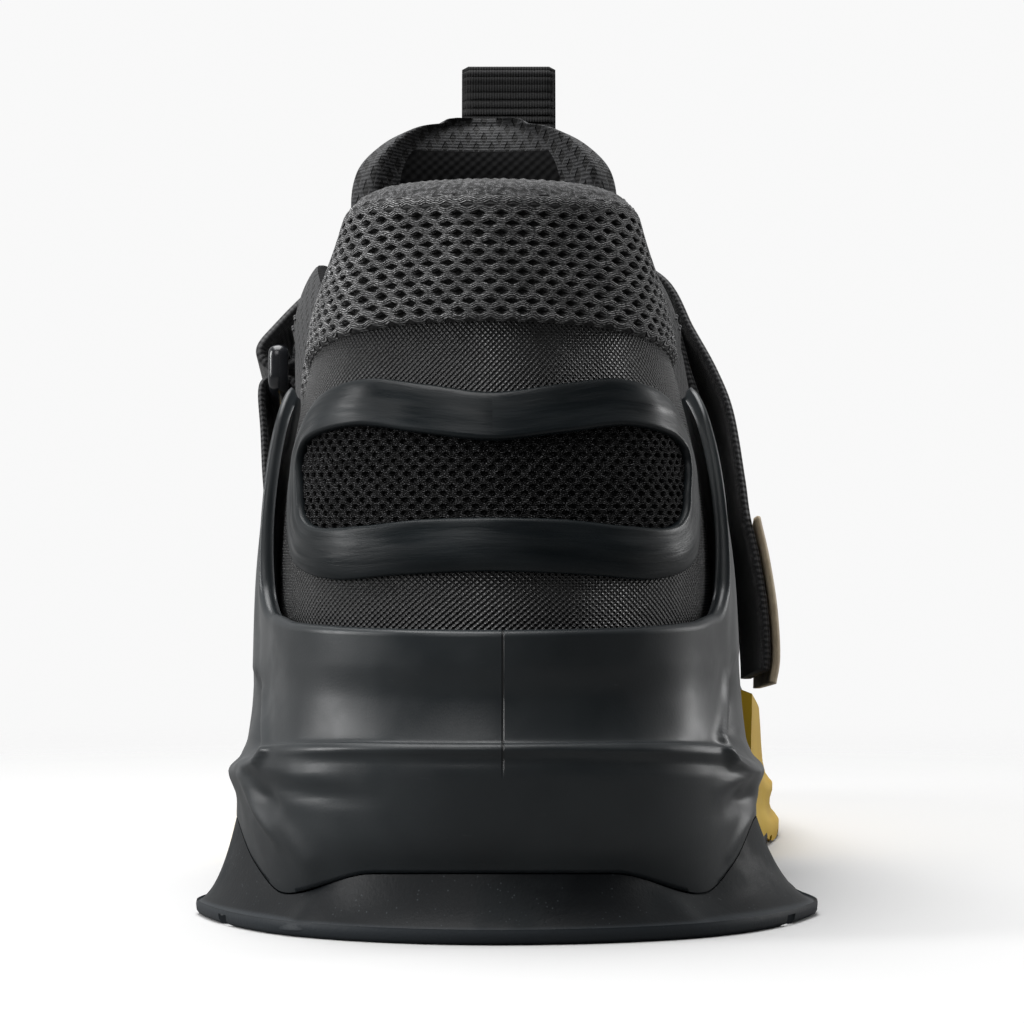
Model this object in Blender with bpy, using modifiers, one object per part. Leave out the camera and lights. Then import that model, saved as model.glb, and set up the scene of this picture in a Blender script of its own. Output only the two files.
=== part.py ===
# Right weightlifting shoe, standing empty on its sole.
# Metres, +Z up, the toe points along +Y and the outer (lateral) side is at +X.
# The origin is on the floor, in the middle of the flat under the heel.
# Lengths along the shoe are measured from the sole's rear edge, and make_mesh moves them to the origin.

import math

import bmesh
import bpy
import numpy as np
from mathutils import Vector

# Driving sizes of the last and the upper
SHOE_LENGTH = 0.292
HEEL_WIDTH = 0.0652
BALL_WIDTH = 0.0870
COLLAR_HEIGHT = 0.1100
COLLAR_WIDTH = 0.0440
INSTEP_HEIGHT = 0.1015
THROAT_WIDTH = 0.0380
VAMP_HEIGHT = 0.0628

# Driving sizes of the sole
HEEL_STACK = 0.0310
FORE_STACK = 0.0140
TOE_SPRING = 0.0090
HEEL_PLATE = 0.0070
FORE_PLATE = 0.0060
SEAM_HEIGHT = 0.0150
SOLE_FLARE = 0.0160
FLARE_LEAN = 0.0017
WALL_OUT = 0.0090
RIM_HEIGHT = 0.0140
WING_HEIGHT = 0.0815
WING_GAP = 0.0012
CUP_RIM = 0.0105
CUP_WALL = 0.0022
CUP_FLARE = 0.0090
LIP_WALL = 0.0019
SEAM_SHELF = 0.0040
BED_INSET = 0.0034
FLARE_SEAT = 0.0150
FLARE_EDGE = 0.0008
CUP_SEAT = 0.0120
FLARE_LEAST = 0.0010
STEP_BACK = 0.0030
STEP_CLEAR = 0.0006
ARCH_LIFT = 0.0022
SOLE_JOINT = 0.1460
HEEL_SEAT = 0.0400

# Walls, gaps and trim
GAP = 0.0003
UPPER_WALL = 0.0022
COLLAR_PAD = 0.0042
OVERLAY = 0.0009
INSOLE_THICK = 0.0040
INSOLE_DISH = 0.0130
INSOLE_INSET = 0.0004
INSOLE_ROUND = 0.0012
TONGUE_THICK = 0.0030
TONGUE_PAD = 0.0080
TONGUE_HEIGHT = 0.1275
TONGUE_TOP_WIDTH = 0.0450
TONGUE_SIDE = 0.0050
TONGUE_DROP = 0.0016
TONGUE_SAG = 0.0032
TONGUE_TUCK = 0.0080
TONGUE_FOOT = 0.0120
TONGUE_NARROWING = 0.0060
TONGUE_CLEAR = 0.0008
LOOP_WIDTH = 0.0158
LOOP_RISE = 0.0109
LOOP_SHIFT = 0.0041
RIBBON = 0.0014
FILM_THICK = 0.0011
FILM_SEAT = 0.0005
GROOVE_WIDTH = 0.0030
GROOVE_DEPTH = 0.0016
EYELET_BORE = 0.0042
LACE_THICK = 0.0020
LACE_ARCH = 0.0013
STRAP_THICK = 0.0018
STRAP_WIDTH = 0.0300
STRAP_AHEAD = 0.1020
RING_DEPTH = 0.0034
RING_BAR = 0.0022
RING_OPENING = 0.0044
WEBBING = 0.0012

# Places in rows round the shoe, and shares up the wall
FILM_REACH = 2.6
EYELET_PAIRS = 6
EYELET_ROWS = (6.1, 10.6)
EYELET_SHARE = 0.925
OVERLAY_FROM = 0.74
OVERLAY_RISE = 0.04
PAD_FROM = 0.60
PAD_RISE = 0.26
RIM_SWELL = 0.42

# How finely the curved pieces are divided
STEPS_PER_ROW = 2
FILM_STEPS = 48
RING_STEPS = 32
RING_SIDES = 8
TONGUE_POINTS = 9
LIP_SHARES = (0.16, 0.34, 0.52, 0.70)
SIDE_LEVELS = ("belly", "edge", "step", "scoop")
UPPER_SHARES = (0.0, 0.05, 0.12, 0.20, 0.30, 0.42, 0.54, 0.65, 0.74, 0.78, 0.86, 0.94, 1.0)
LINING_SHARES = (1.0, 0.90, 0.78, 0.66, 0.50, 0.34, 0.20, 0.10, 0.0)

# The rows run from the back of the heel (row 0) to the tip of the toe (row 13), on both sides of the shoe.
# Feather line: along is a share of the length, heel and ball are shares of half those widths,
# centre is the line's left or right curve as a share of half the ball width.
FEATHER_LINE = """
along   heel   ball   centre
0.034   0.000  0.000   0.000
0.049   0.466  0.000   0.000
0.087   0.791  0.000   0.000
0.158   0.969  0.000   0.005
0.267   1.000  0.000   0.020
0.384   0.220  0.608   0.050
0.500   0.000  0.872   0.068
0.610   0.000  0.965   0.060
0.706   0.000  1.000   0.034
0.795   0.000  0.962  -0.014
0.877   0.000  0.812  -0.068
0.938   0.000  0.568  -0.112
0.974   0.000  0.292  -0.138
0.986   0.000  0.000  -0.147
"""

# Top line, round the collar (rows 0 to 5) and down the throat: collar and throat are shares of half
# those widths, back, instep and vamp are shares of those heights.
TOP_LINE = """
along    collar  throat  centre  back   instep  vamp
0.0445   0.000   0.000  -0.006   0.974  0.000   0.000
0.0592   0.580   0.000  -0.006   0.973  0.000   0.000
0.0866   0.910   0.000  -0.006   0.966  0.000   0.000
0.1370   1.020   0.000  -0.014   0.924  0.000   0.000
0.2123   1.095   0.000  -0.030   0.848  0.000   0.000
0.2945   1.227   0.000  -0.045   0.000  1.002   0.000
0.3630   0.000   1.000  -0.022   0.000  0.941   0.000
0.4384   0.000   0.868   0.000   0.000  0.852   0.000
0.5137   0.000   0.737   0.018   0.000  0.759   0.000
0.5753   0.000   0.605   0.010   0.000  0.000   1.115
0.6164   0.000   0.447  -0.010   0.000  0.000   1.051
0.6370   0.000   0.263  -0.022   0.000  0.000   1.019
0.6455   0.000   0.137  -0.027   0.000  0.000   1.006
0.6490   0.000   0.000  -0.029   0.000  0.000   1.000
"""

# Fullness of the wall between the two lines, as shares of each row's rise: the low handle goes out and
# up from the feather line, the high handle goes out, ahead and down from the top line.
FULLNESS = """
low_out  low_up  high_out  high_ahead  high_down
0.089    0.392  -0.089     0.000       0.316
0.089    0.395  -0.072     0.000       0.300
0.082    0.400   0.000     0.000       0.250
0.075    0.417   0.058     0.000       0.194
0.078    0.403   0.047     0.000       0.217
0.047    0.400   0.107     0.000       0.133
0.033    0.420   0.158     0.040       0.079
0.021    0.366   0.225     0.113       0.056
0.019    0.365   0.286     0.222       0.048
0.022    0.400   0.310     0.400       0.036
0.030    0.457   0.265     0.650       0.030
0.044    0.536   0.180     0.890       0.027
0.060    0.590   0.095     1.100       0.024
0.073    0.630   0.000     1.170       0.024
"""

# Footbed height along the shoe: shares of the heel stack, the forefoot stack and the toe spring.
FOOTBED = """
along  heel  fore  spring
0.000  1.00  0.00  0.00
0.270  0.98  0.00  0.00
0.380  0.72  0.28  0.00
0.500  0.34  0.66  0.00
0.600  0.08  0.92  0.00
0.700  0.00  1.00  0.00
0.800  0.00  1.00  0.09
0.880  0.00  1.00  0.32
0.940  0.00  1.00  0.60
1.000  0.00  1.00  0.90
"""

# Underside: shares of the arch lift and of the toe spring.
UNDERSIDE = """
along  arch  spring
0.000  0.00  0.00
0.350  0.00  0.00
0.430  0.90  0.00
0.500  1.00  0.00
0.560  0.90  0.00
0.620  0.00  0.00
0.800  0.00  0.00
0.880  0.00  0.22
0.940  0.00  0.52
1.000  0.00  0.92
"""

# Side wall of the midsole by row: how far each level stands outside the upper, as a share of WALL_OUT,
# and its height as a share of the heel stack. The seam's height is a share of SEAM_HEIGHT.
MIDSOLE_SIDE = """
row   seam_out  seam_up  belly_out  belly_up  edge_out  edge_up  step_out  step_up  scoop_out  scoop_up
0.0   0.50      0.65     0.76       0.52      0.88      0.895    0.60      0.935    0.38       1.12
1.0   0.52      0.62     0.78       0.51      0.90      0.890    0.62      0.932    0.40       1.12
2.0   0.68      0.35     0.86       0.47      0.98      0.850    0.70      0.905    0.50       1.11
2.5   0.82      0.62     0.92       0.52      1.05      0.770    0.76      0.850    0.50       1.08
3.0   0.93      0.98     0.94       0.59      1.07      0.715    0.84      0.800    0.68       1.00
3.6   0.92      0.92     0.90       0.57      1.03      0.700    0.82      0.790    0.70       0.97
4.5   0.78      0.62     0.76       0.44      0.80      0.620    0.70      0.700    0.60       0.86
5.5   0.62      0.48     0.62       0.34      0.62      0.470    0.56      0.540    0.46       0.64
6.0   0.58      0.46     0.58       0.32      0.58      0.440    0.54      0.500    0.44       0.60
"""

# Rim of the midsole by row: its height above the footbed as shares of the rim's and of the wing's
# heights, and its width outside the upper as a share of WALL_OUT.
MIDSOLE_RIM = """
row    rim   wing   out
0.0    1.00  0.00   0.34
1.0    1.01  0.00   0.34
2.0    1.05  0.00   0.38
2.5    1.12  0.00   0.36
2.8    0.80  0.16   0.40
3.05   0.30  0.66   0.40
3.25   0.10  0.91   0.38
3.5    0.00  1.00   0.36
3.8    0.00  0.92   0.36
4.2    0.10  0.62   0.34
4.6    0.40  0.24   0.32
5.2    0.86  0.00   0.30
6.0    0.92  0.00   0.28
7.0    0.92  0.00   0.22
10.0   0.90  0.00   0.22
13.0   0.86  0.00   0.22
"""

# Flare of the heel outsole, from its seam down to the floor edge: shares of the way out from the seam to
# SOLE_FLARE and of the way down.
HEEL_FLARE = """
out   down
0.00  0.00
0.22  0.34
0.54  0.68
0.90  0.88
1.00  0.95
"""

# Side wall of the forefoot cup, from its rim down to the floor: out is a share of the way from the cup's
# wall to CUP_FLARE, up is a share of the rim's height.
CUP_SIDE = """
out   up
0.00  0.96
0.10  0.72
0.36  0.48
0.70  0.42
0.58  0.28
0.66  0.20
1.00  0.13
0.98  0.05
0.80  0.00
"""

# Outlines of the film ring on the heel: across is a share of FILM_REACH rows to one side, up is a share
# of the collar's height. The rows go from the middle of the top edge to the middle of the lower edge.
FILM_OUTLINES = """
across  up     window_across  window_up
0.00    0.722  0.00           0.657
0.27    0.733  0.27           0.667
0.54    0.742  0.54           0.678
0.77    0.729  0.77           0.669
0.90    0.705  0.88           0.655
1.00    0.650  0.91           0.632
1.00    0.590  0.865          0.591
0.96    0.532  0.81           0.557
0.86    0.491  0.69           0.542
0.61    0.473  0.46           0.545
0.31    0.480  0.23           0.553
0.00    0.485  0.00           0.555
"""

# Tongue above the throat: along and up are shares of the length and of the tongue's height, wide and
# thick are shares of half its top width and of its padding, wrap is how far its sides lie back, as a share
# of its padding.
TONGUE_TOP = """
along   up     wide   thick  wrap
0.352   0.778  0.800  0.55   0.250
0.344   0.835  0.920  0.72   0.420
0.340   0.885  0.985  0.84   0.560
0.341   0.928  0.935  0.88   0.560
0.345   0.961  0.775  0.84   0.460
0.348   0.982  0.580  0.72   0.330
0.350   0.991  0.360  0.55   0.220
"""

# Pull loop, from its inner foot over the fold to its outer foot: ahead and up are in shares of LOOP_RISE
# from the top of the tongue.
LOOP_PATH = """
ahead   up
-0.04   -1.30
0.03   -0.60
0.15    0.00
0.19    0.50
0.26    0.84
0.42    0.95
0.58    0.84
0.62    0.40
0.56   -0.20
0.42   -0.80
0.40   -1.30
"""

# Strap, from its foot on the outer side over the instep, round the ring and back to the loose end. The
# rear and the front edge are given as shares of half the ball width and of the instep height.
STRAP_PATH = """
rear_x   rear_z  front_x  front_z
 0.870   0.463    0.935   0.389
 0.872   0.552    0.930   0.479
 0.862   0.645    0.902   0.562
 0.809   0.749    0.848   0.646
 0.740   0.842    0.768   0.729
 0.640   0.964    0.678   0.850
 0.418   1.014    0.432   0.906
 0.195   1.022    0.195   0.911
 0.000   1.028    0.000   0.916
-0.195   1.022   -0.195   0.911
-0.418   1.014   -0.432   0.906
-0.595   0.976   -0.595   0.866
-0.708   0.920   -0.708   0.834
-0.760   0.890   -0.760   0.826
-0.776   0.863   -0.776   0.799
-0.839   0.854   -0.839   0.790
-0.893   0.863   -0.893   0.799
-0.907   0.886   -0.907   0.822
-0.842   0.920   -0.840   0.852
-0.742   0.964   -0.740   0.882
-0.622   1.009   -0.622   0.899
-0.418   1.042   -0.418   0.934
-0.195   1.050   -0.195   0.939
 0.000   1.056    0.000   0.945
 0.195   1.050    0.195   0.939
 0.418   1.042    0.432   0.934
 0.640   0.998    0.690   0.884
 0.747   0.918    0.795   0.790
 0.839   0.847    0.878   0.719
 0.901   0.778    0.929   0.650
 0.945   0.670    0.955   0.562
 0.966   0.606    0.966   0.512
 1.003   0.536    0.980   0.463
 1.034   0.453    0.994   0.404
 1.045   0.374    1.004   0.341
 1.030   0.330    1.004   0.305
"""
TAB_ROWS = 5
RING_FOLD = slice(12, 19)

# Webbing that holds the ring, from its foot up round the ring's lower bar and down again.
RING_TAB_PATH = """
rear_x   rear_z  front_x  front_z
-0.795   0.473   -0.832   0.394
-0.817   0.591   -0.831   0.493
-0.811   0.690   -0.809   0.591
-0.798   0.768   -0.792   0.690
-0.770   0.812   -0.770   0.748
-0.786   0.831   -0.786   0.767
-0.839   0.8365  -0.839   0.7725
-0.892   0.831   -0.892   0.767
-0.909   0.810   -0.909   0.746
-0.900   0.749   -0.900   0.685
-0.893   0.680   -0.893   0.616
-0.880   0.611   -0.882   0.552
"""

COLLECTION_NAME = "weightlifting_shoe"
CUTTERS_NAME = "weightlifting_shoe_cutters"


# Tables and smooth curves

def read_table(text):
    lines = [line.split() for line in text.strip().splitlines()]
    columns = {}
    for place, name in enumerate(lines[0]):
        columns[name] = np.array([float(line[place]) for line in lines[1:]])
    return columns


def smooth_value(places, values, at):
    """Cubic curve through the table's values, level at both ends and clamped outside them."""
    at = min(max(at, places[0]), places[-1])
    right = int(np.searchsorted(places, at, side="right"))
    right = min(max(right, 1), len(places) - 1)
    left = right - 1

    def slope(i):
        if i == 0 or i == len(places) - 1:
            return 0.0
        before = (values[i] - values[i - 1]) / (places[i] - places[i - 1])
        after = (values[i + 1] - values[i]) / (places[i + 1] - places[i])
        if before * after <= 0.0:
            return 0.0
        return 2.0 * before * after / (before + after)

    span = places[right] - places[left]
    t = (at - places[left]) / span
    low = (1 + 2 * t) * (1 - t) ** 2 * values[left] + t * (1 - t) ** 2 * span * slope(left)
    high = t * t * (3 - 2 * t) * values[right] + t * t * (t - 1) * span * slope(right)
    return low + high


def ease(value):
    value = min(max(value, 0.0), 1.0)
    return value * value * (3.0 - 2.0 * value)


FEATHER = read_table(FEATHER_LINE)
TOP = read_table(TOP_LINE)
FULL = read_table(FULLNESS)
BED = read_table(FOOTBED)
UNDER = read_table(UNDERSIDE)
SIDE = read_table(MIDSOLE_SIDE)
RIM = read_table(MIDSOLE_RIM)
FLARE = read_table(HEEL_FLARE)
CUP = read_table(CUP_SIDE)
FILM = read_table(FILM_OUTLINES)
TONGUE = read_table(TONGUE_TOP)
PULL = read_table(LOOP_PATH)
STRAP = read_table(STRAP_PATH)
HOLDER = read_table(RING_TAB_PATH)

TOE_ROW = len(FEATHER["along"]) - 1
LOOP_ROWS = 2 * TOE_ROW


def footbed_height(ahead):
    share = ahead / SHOE_LENGTH
    heel = smooth_value(BED["along"], BED["heel"], share) * HEEL_STACK
    fore = smooth_value(BED["along"], BED["fore"], share) * FORE_STACK
    return heel + fore + smooth_value(BED["along"], BED["spring"], share) * TOE_SPRING


def underside_height(ahead):
    share = ahead / SHOE_LENGTH
    arch = smooth_value(UNDER["along"], UNDER["arch"], share) * ARCH_LIFT
    return arch + smooth_value(UNDER["along"], UNDER["spring"], share) * TOE_SPRING


# The upper's own function: skin(u, v). u runs once round the shoe in rows, from the back of the heel
# along the inner side to the toe and back along the outer side. v runs from the feather line to the top.

def row_of(u):
    u = u % LOOP_ROWS
    return min(u, LOOP_ROWS - u)


def side_of(u):
    return -1.0 if u % LOOP_ROWS < TOE_ROW else 1.0


def feather_point(place):
    row = min(place, LOOP_ROWS - place)
    half = 0.5 * (FEATHER["heel"][row] * HEEL_WIDTH + FEATHER["ball"][row] * BALL_WIDTH)
    ahead = FEATHER["along"][row] * SHOE_LENGTH
    across = 0.5 * FEATHER["centre"][row] * BALL_WIDTH + side_of(place) * half
    return np.array((across, ahead, footbed_height(ahead) + GAP))


def top_point(place):
    row = min(place, LOOP_ROWS - place)
    half = 0.5 * (TOP["collar"][row] * COLLAR_WIDTH + TOP["throat"][row] * THROAT_WIDTH)
    across = 0.5 * TOP["centre"][row] * BALL_WIDTH + side_of(place) * half
    height = TOP["back"][row] * COLLAR_HEIGHT + TOP["instep"][row] * INSTEP_HEIGHT
    height += TOP["vamp"][row] * VAMP_HEIGHT
    return np.array((across, TOP["along"][row] * SHOE_LENGTH, height))


def wall_controls():
    """Four control points of the wall at each row: feather, low handle, high handle, top."""
    controls = []
    for place in range(LOOP_ROWS):
        row = min(place, LOOP_ROWS - place)
        foot = feather_point(place)
        top = top_point(place)
        way = feather_point((place + 1) % LOOP_ROWS) - feather_point((place - 1) % LOOP_ROWS)
        out = np.array((-way[1], way[0], 0.0))
        out /= np.linalg.norm(out)
        up = np.array((0.0, 0.0, 1.0))
        ahead = np.array((0.0, 1.0, 0.0))
        rise = top[2] - foot[2]
        low = foot + rise * (FULL["low_out"][row] * out + FULL["low_up"][row] * up)
        high = top + rise * (FULL["high_out"][row] * out + FULL["high_ahead"][row] * ahead)
        high = high - rise * FULL["high_down"][row] * up
        controls.append((foot, low, high, top))
    return np.array(controls)


CONTROLS = wall_controls()


def skin(u, v):
    base = math.floor(u)
    t = u - base
    p0, p1, p2, p3 = (CONTROLS[(base + shift) % LOOP_ROWS] for shift in (-1, 0, 1, 2))
    row = p1 + 0.5 * t * (p2 - p0 + t * (2 * p0 - 5 * p1 + 4 * p2 - p3 + t * (3 * p1 - p0 - 3 * p2 + p3)))
    w = 1.0 - v
    return w ** 3 * row[0] + 3 * w * w * v * row[1] + 3 * w * v * v * row[2] + v ** 3 * row[3]


def skin_normal(u, v):
    step = 0.01
    along = skin(u + step, v) - skin(u - step, v)
    up = skin(u, min(v + step, 1.0)) - skin(u, max(v - step, 0.0))
    normal = np.cross(up, along)
    return normal / np.linalg.norm(normal)


def flat_normal(u, v):
    normal = skin_normal(u, v) * (1.0, 1.0, 0.0)
    return normal / np.linalg.norm(normal)


def share_at_height(u, height):
    low = 0.0
    high = 1.0
    for _ in range(30):
        middle = 0.5 * (low + high)
        if skin(u, middle)[2] < height:
            low = middle
        else:
            high = middle
    return 0.5 * (low + high)


def side_point(u, height, out):
    """Point at a height, a distance out from the upper, or from its feather line where it is lower."""
    v = 0.0
    if height > skin(u, 0.0)[2]:
        v = share_at_height(u, height)
    point = skin(u, v) + out * flat_normal(u, v)
    point[2] = height
    return point


def collar_share(u):
    return 1.0 - ease((row_of(u) - 3.6) / 1.4)


def eyestay_share(u):
    return ease((row_of(u) - 4.4) / 0.8)


def overlay_step(u, v):
    """The padded collar and the eyestay stand proud of the rest of the wall by one step."""
    share = max(collar_share(u), eyestay_share(u))
    return OVERLAY * share * ease((v - OVERLAY_FROM) / OVERLAY_RISE)


def wall_thickness(u, v):
    return UPPER_WALL + COLLAR_PAD * collar_share(u) * ease((v - PAD_FROM) / PAD_RISE)


def outer_skin(u, v, out=0.0):
    return skin(u, v) + (overlay_step(u, v) + out) * skin_normal(u, v)


def inner_skin(u, v, inward=0.0):
    point = skin(u, v) - (wall_thickness(u, v) + inward) * skin_normal(u, v)
    if v == 0.0:
        point[2] = skin(u, v)[2]
    return point


# Meshes

def add_collection(name):
    collection = bpy.data.collections.new(name)
    bpy.context.scene.collection.children.link(collection)
    return collection


def make_material(name, colour, roughness, metallic=0.0):
    material = bpy.data.materials.new(name)
    material.use_nodes = True
    shader = material.node_tree.nodes["Principled BSDF"]
    shader.inputs["Base Color"].default_value = (*colour, 1.0)
    shader.inputs["Roughness"].default_value = roughness
    shader.inputs["Metallic"].default_value = metallic
    material.diffuse_color = (*colour, 1.0)
    return material


def split_quad(shape, a, b, c, d):
    """Two triangles along the shorter diagonal, so that facing surfaces are split alike."""
    if (a.co - c.co).length <= (b.co - d.co).length:
        shape.faces.new((a, b, c))
        shape.faces.new((a, c, d))
    else:
        shape.faces.new((a, b, d))
        shape.faces.new((b, c, d))


def make_mesh(name, rings, material, collection, closed=False, tips=True):
    """Loft through closed rings of points. A loft that doesn't close on itself gets a ladder of faces
    across each end, between the ring's two tips or between its two long sides."""
    shape = bmesh.new()
    loops = []
    for ring in rings:
        loops.append([shape.verts.new((p[0], p[1] - HEEL_SEAT, p[2])) for p in ring])
    count = len(rings[0])
    pairs = list(zip(loops, loops[1:]))
    if closed:
        pairs.append((loops[-1], loops[0]))
    for first, second in pairs:
        for i in range(count):
            j = (i + 1) % count
            split_quad(shape, first[i], first[j], second[j], second[i])
    if not closed:
        for loop in (loops[0], loops[-1]):
            add_ladder(shape, loop, tips)
    bmesh.ops.recalc_face_normals(shape, faces=shape.faces)
    mesh = bpy.data.meshes.new(name)
    shape.to_mesh(mesh)
    shape.free()
    mesh.materials.append(material)
    mesh.shade_smooth()
    mesh.set_sharp_from_angle(angle=math.radians(40))
    piece = bpy.data.objects.new(name, mesh)
    collection.objects.link(piece)
    return piece


def add_ladder(shape, loop, tips):
    count = len(loop)
    if tips:
        shape.faces.new((loop[0], loop[1], loop[-1]))
        for i in range(1, count // 2 - 1):
            split_quad(shape, loop[i], loop[i + 1], loop[count - i - 1], loop[count - i])
        middle = count // 2
        shape.faces.new((loop[middle - 1], loop[middle], loop[middle + 1]))
    else:
        for i in range(count // 2 - 1):
            split_quad(shape, loop[i], loop[i + 1], loop[count - i - 2], loop[count - i - 1])


def grid_normals(grid):
    along = np.gradient(grid, axis=0)
    across = np.gradient(grid, axis=1)
    normals = np.cross(along, across)
    return normals / np.linalg.norm(normals, axis=2)[:, :, None]


def slab_rings(grid, thickness, shift=0.0, first=0, last=None):
    """Rings of a sheet whose middle follows a grid of points, shifted along the grid's normals."""
    grid = np.array(grid)
    normals = grid_normals(grid)
    near = grid + (shift - 0.5 * thickness) * normals
    far = grid + (shift + 0.5 * thickness) * normals
    return [list(one) + list(other[::-1]) for one, other in zip(near, far)][first:last]


# The places round the shoe where every ring of the upper and the sole is cut

def joint_row(ahead):
    low = 4.0
    high = 8.0
    for _ in range(30):
        middle = 0.5 * (low + high)
        if skin(middle, 0.0)[1] < ahead:
            low = middle
        else:
            high = middle
    return 0.5 * (low + high)


STEP_BEHIND = joint_row(SOLE_JOINT - STEP_BACK)
STEP_AHEAD = joint_row(SOLE_JOINT - STEP_CLEAR)


def side_rows():
    rows = [step / STEPS_PER_ROW for step in range(TOE_ROW * STEPS_PER_ROW + 1)]
    rows = [row for row in rows if not STEP_BEHIND - 0.2 < row < STEP_AHEAD + 0.2]
    rows += [2.75, 3.25, STEP_BEHIND, STEP_AHEAD]
    return sorted(rows)


ROWS = side_rows()
RING = ROWS + [LOOP_ROWS - row for row in ROWS[-2:0:-1]]


# Sole

def side_value(column, row):
    return smooth_value(SIDE["row"], SIDE[column], row)


def rim_value(column, row):
    return smooth_value(RIM["row"], RIM[column], row)


def in_cup(u):
    """True where the midsole stands inside the forefoot cup."""
    return row_of(u) > 0.5 * (STEP_BEHIND + STEP_AHEAD)


def fore_lip_height(u):
    ahead = skin(u, 0.0)[1]
    return footbed_height(ahead) + rim_value("rim", row_of(u)) * RIM_HEIGHT


def rim_height(u):
    if in_cup(u):
        return fore_lip_height(u)
    wing = rim_value("wing", row_of(u))
    bed = footbed_height(skin(u, 0.0)[1])
    return bed + rim_value("rim", row_of(u)) * RIM_HEIGHT + wing * (WING_HEIGHT - bed)


def cup_floor(u, out):
    ahead = side_point(u, 0.0, out)[1]
    return underside_height(ahead) + FORE_PLATE


def seam_point(u, lift):
    """Where midsole and outsole meet on the outside, lifted by a clearance."""
    if in_cup(u):
        point = side_point(u, 0.0, LIP_WALL)
        point[2] = cup_floor(u, LIP_WALL) + lift
        return point
    point = side_point(u, 0.0, side_value("seam_out", row_of(u)) * WALL_OUT)
    point[2] = side_value("seam_up", row_of(u)) * SEAM_HEIGHT + lift
    return point


def bed_point(u, inset, lift):
    """Point of the outsole's upper face, inside the seam."""
    point = side_point(u, 0.0, -inset)
    if in_cup(u):
        point[2] = underside_height(point[1]) + FORE_PLATE + lift
    else:
        point[2] = HEEL_PLATE + underside_height(point[1]) + lift
    return point


def footbed_point(u, inset, lift):
    point = side_point(u, 0.0, -inset)
    point[2] = footbed_height(point[1]) + lift
    return point


def lip_level(u, share):
    low = cup_floor(u, LIP_WALL)
    return low + share * (fore_lip_height(u) - low)


def midsole_level(u, name):
    if in_cup(u):
        return side_point(u, lip_level(u, LIP_SHARES[SIDE_LEVELS.index(name)]), LIP_WALL)
    row = row_of(u)
    height = side_value(name + "_up", row) * HEEL_STACK
    return side_point(u, height, side_value(name + "_out", row) * WALL_OUT)


def wing_clearance(u, share):
    """The wings stand clear of the upper towards their tops."""
    return GAP * (1.0 + 0.5 * share) + WING_GAP * ease((share * rim_height(u) - HEEL_STACK) / HEEL_STACK)


def midsole_rings():
    rings = [[bed_point(u, SEAM_SHELF, GAP) for u in RING], [seam_point(u, GAP) for u in RING]]
    for name in SIDE_LEVELS:
        rings.append([midsole_level(u, name) for u in RING])
    for share in (0.5, 0.92):
        ring = []
        for u in RING:
            scoop = midsole_level(u, "scoop")
            out = LIP_WALL if in_cup(u) else rim_value("out", row_of(u)) * WALL_OUT * (1.15 - 0.15 * share)
            ring.append(side_point(u, scoop[2] + share * (rim_height(u) - scoop[2]), out))
        rings.append(ring)
    rings.append([side_point(u, rim_height(u), wing_clearance(u, 1.0) + 0.5 * LIP_WALL) for u in RING])
    for share in (0.95, 0.80, 0.62, 0.44, 0.22, 0.0):
        ring = []
        for u in RING:
            bed = skin(u, 0.0)[2] - GAP
            height = bed + share * (rim_height(u) - bed)
            ring.append(side_point(u, height, wing_clearance(u, share)))
        rings.append(ring)
    rings.append([footbed_point(u, BED_INSET, 0.0) for u in RING])
    return rings


def heel_outsole_rings():
    rings = [[bed_point(u, SEAM_SHELF, 0.0) for u in RING]]
    for out_share, down_share in zip(FLARE["out"], FLARE["down"]):
        ring = []
        for u in RING:
            seam = seam_point(u, 0.0)
            seam_out = LIP_WALL if in_cup(u) else side_value("seam_out", row_of(u)) * WALL_OUT
            reach = flare_reach(u)
            point = side_point(u, 0.0, seam_out + out_share * max(reach - seam_out, FLARE_LEAST))
            floor = underside_height(point[1])
            point[2] = seam[2] + down_share * (floor - seam[2])
            ring.append(point)
        rings.append(ring)
    for inset in (FLARE_EDGE, FLARE_SEAT):
        ring = []
        for u in RING:
            point = side_point(u, 0.0, flare_reach(u) - inset)
            point[2] = underside_height(point[1])
            ring.append(point)
        rings.append(ring)
    return rings


def flare_share(row):
    """The flare is widest beside the heel, less behind it and least at the arch."""
    corner = 3.0
    if row < corner:
        return 0.62 + 0.41 * (row / corner) ** 1.7
    return 1.03 - 0.20 * ease((row - corner) / 0.6) - 0.35 * ease((row - corner - 0.4) / 2.6)


def flare_reach(u):
    """Reach of the flare from the feather line, more on the outer side of the heel than on the inner side."""
    row = row_of(u)
    lean = ease(row / 2.5) - ease((row - 3.6) / 2.0)
    side = -1.0 if u < TOE_ROW else 1.0
    return SOLE_FLARE * flare_share(row) + side * FLARE_LEAN * lean


def outer_side_share(u):
    """1 along the outer side of the forefoot, easing to 0 at the toe and on the inner side."""
    return ease((u - TOE_ROW) / 3.0)


def cup_flare_share(u):
    """The cup flares most beside the ball on the outer side, and less at the toe and towards the joint."""
    widest = 0.62 + 0.38 * outer_side_share(u)
    return widest * (0.55 + 0.45 * ease((row_of(u) - 6.0) / 2.0))


def cup_rim_height(u):
    lower = CUP_RIM * (0.30 * (1.0 - outer_side_share(u)))
    return skin(u, 0.0)[2] + CUP_RIM - lower


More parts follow.
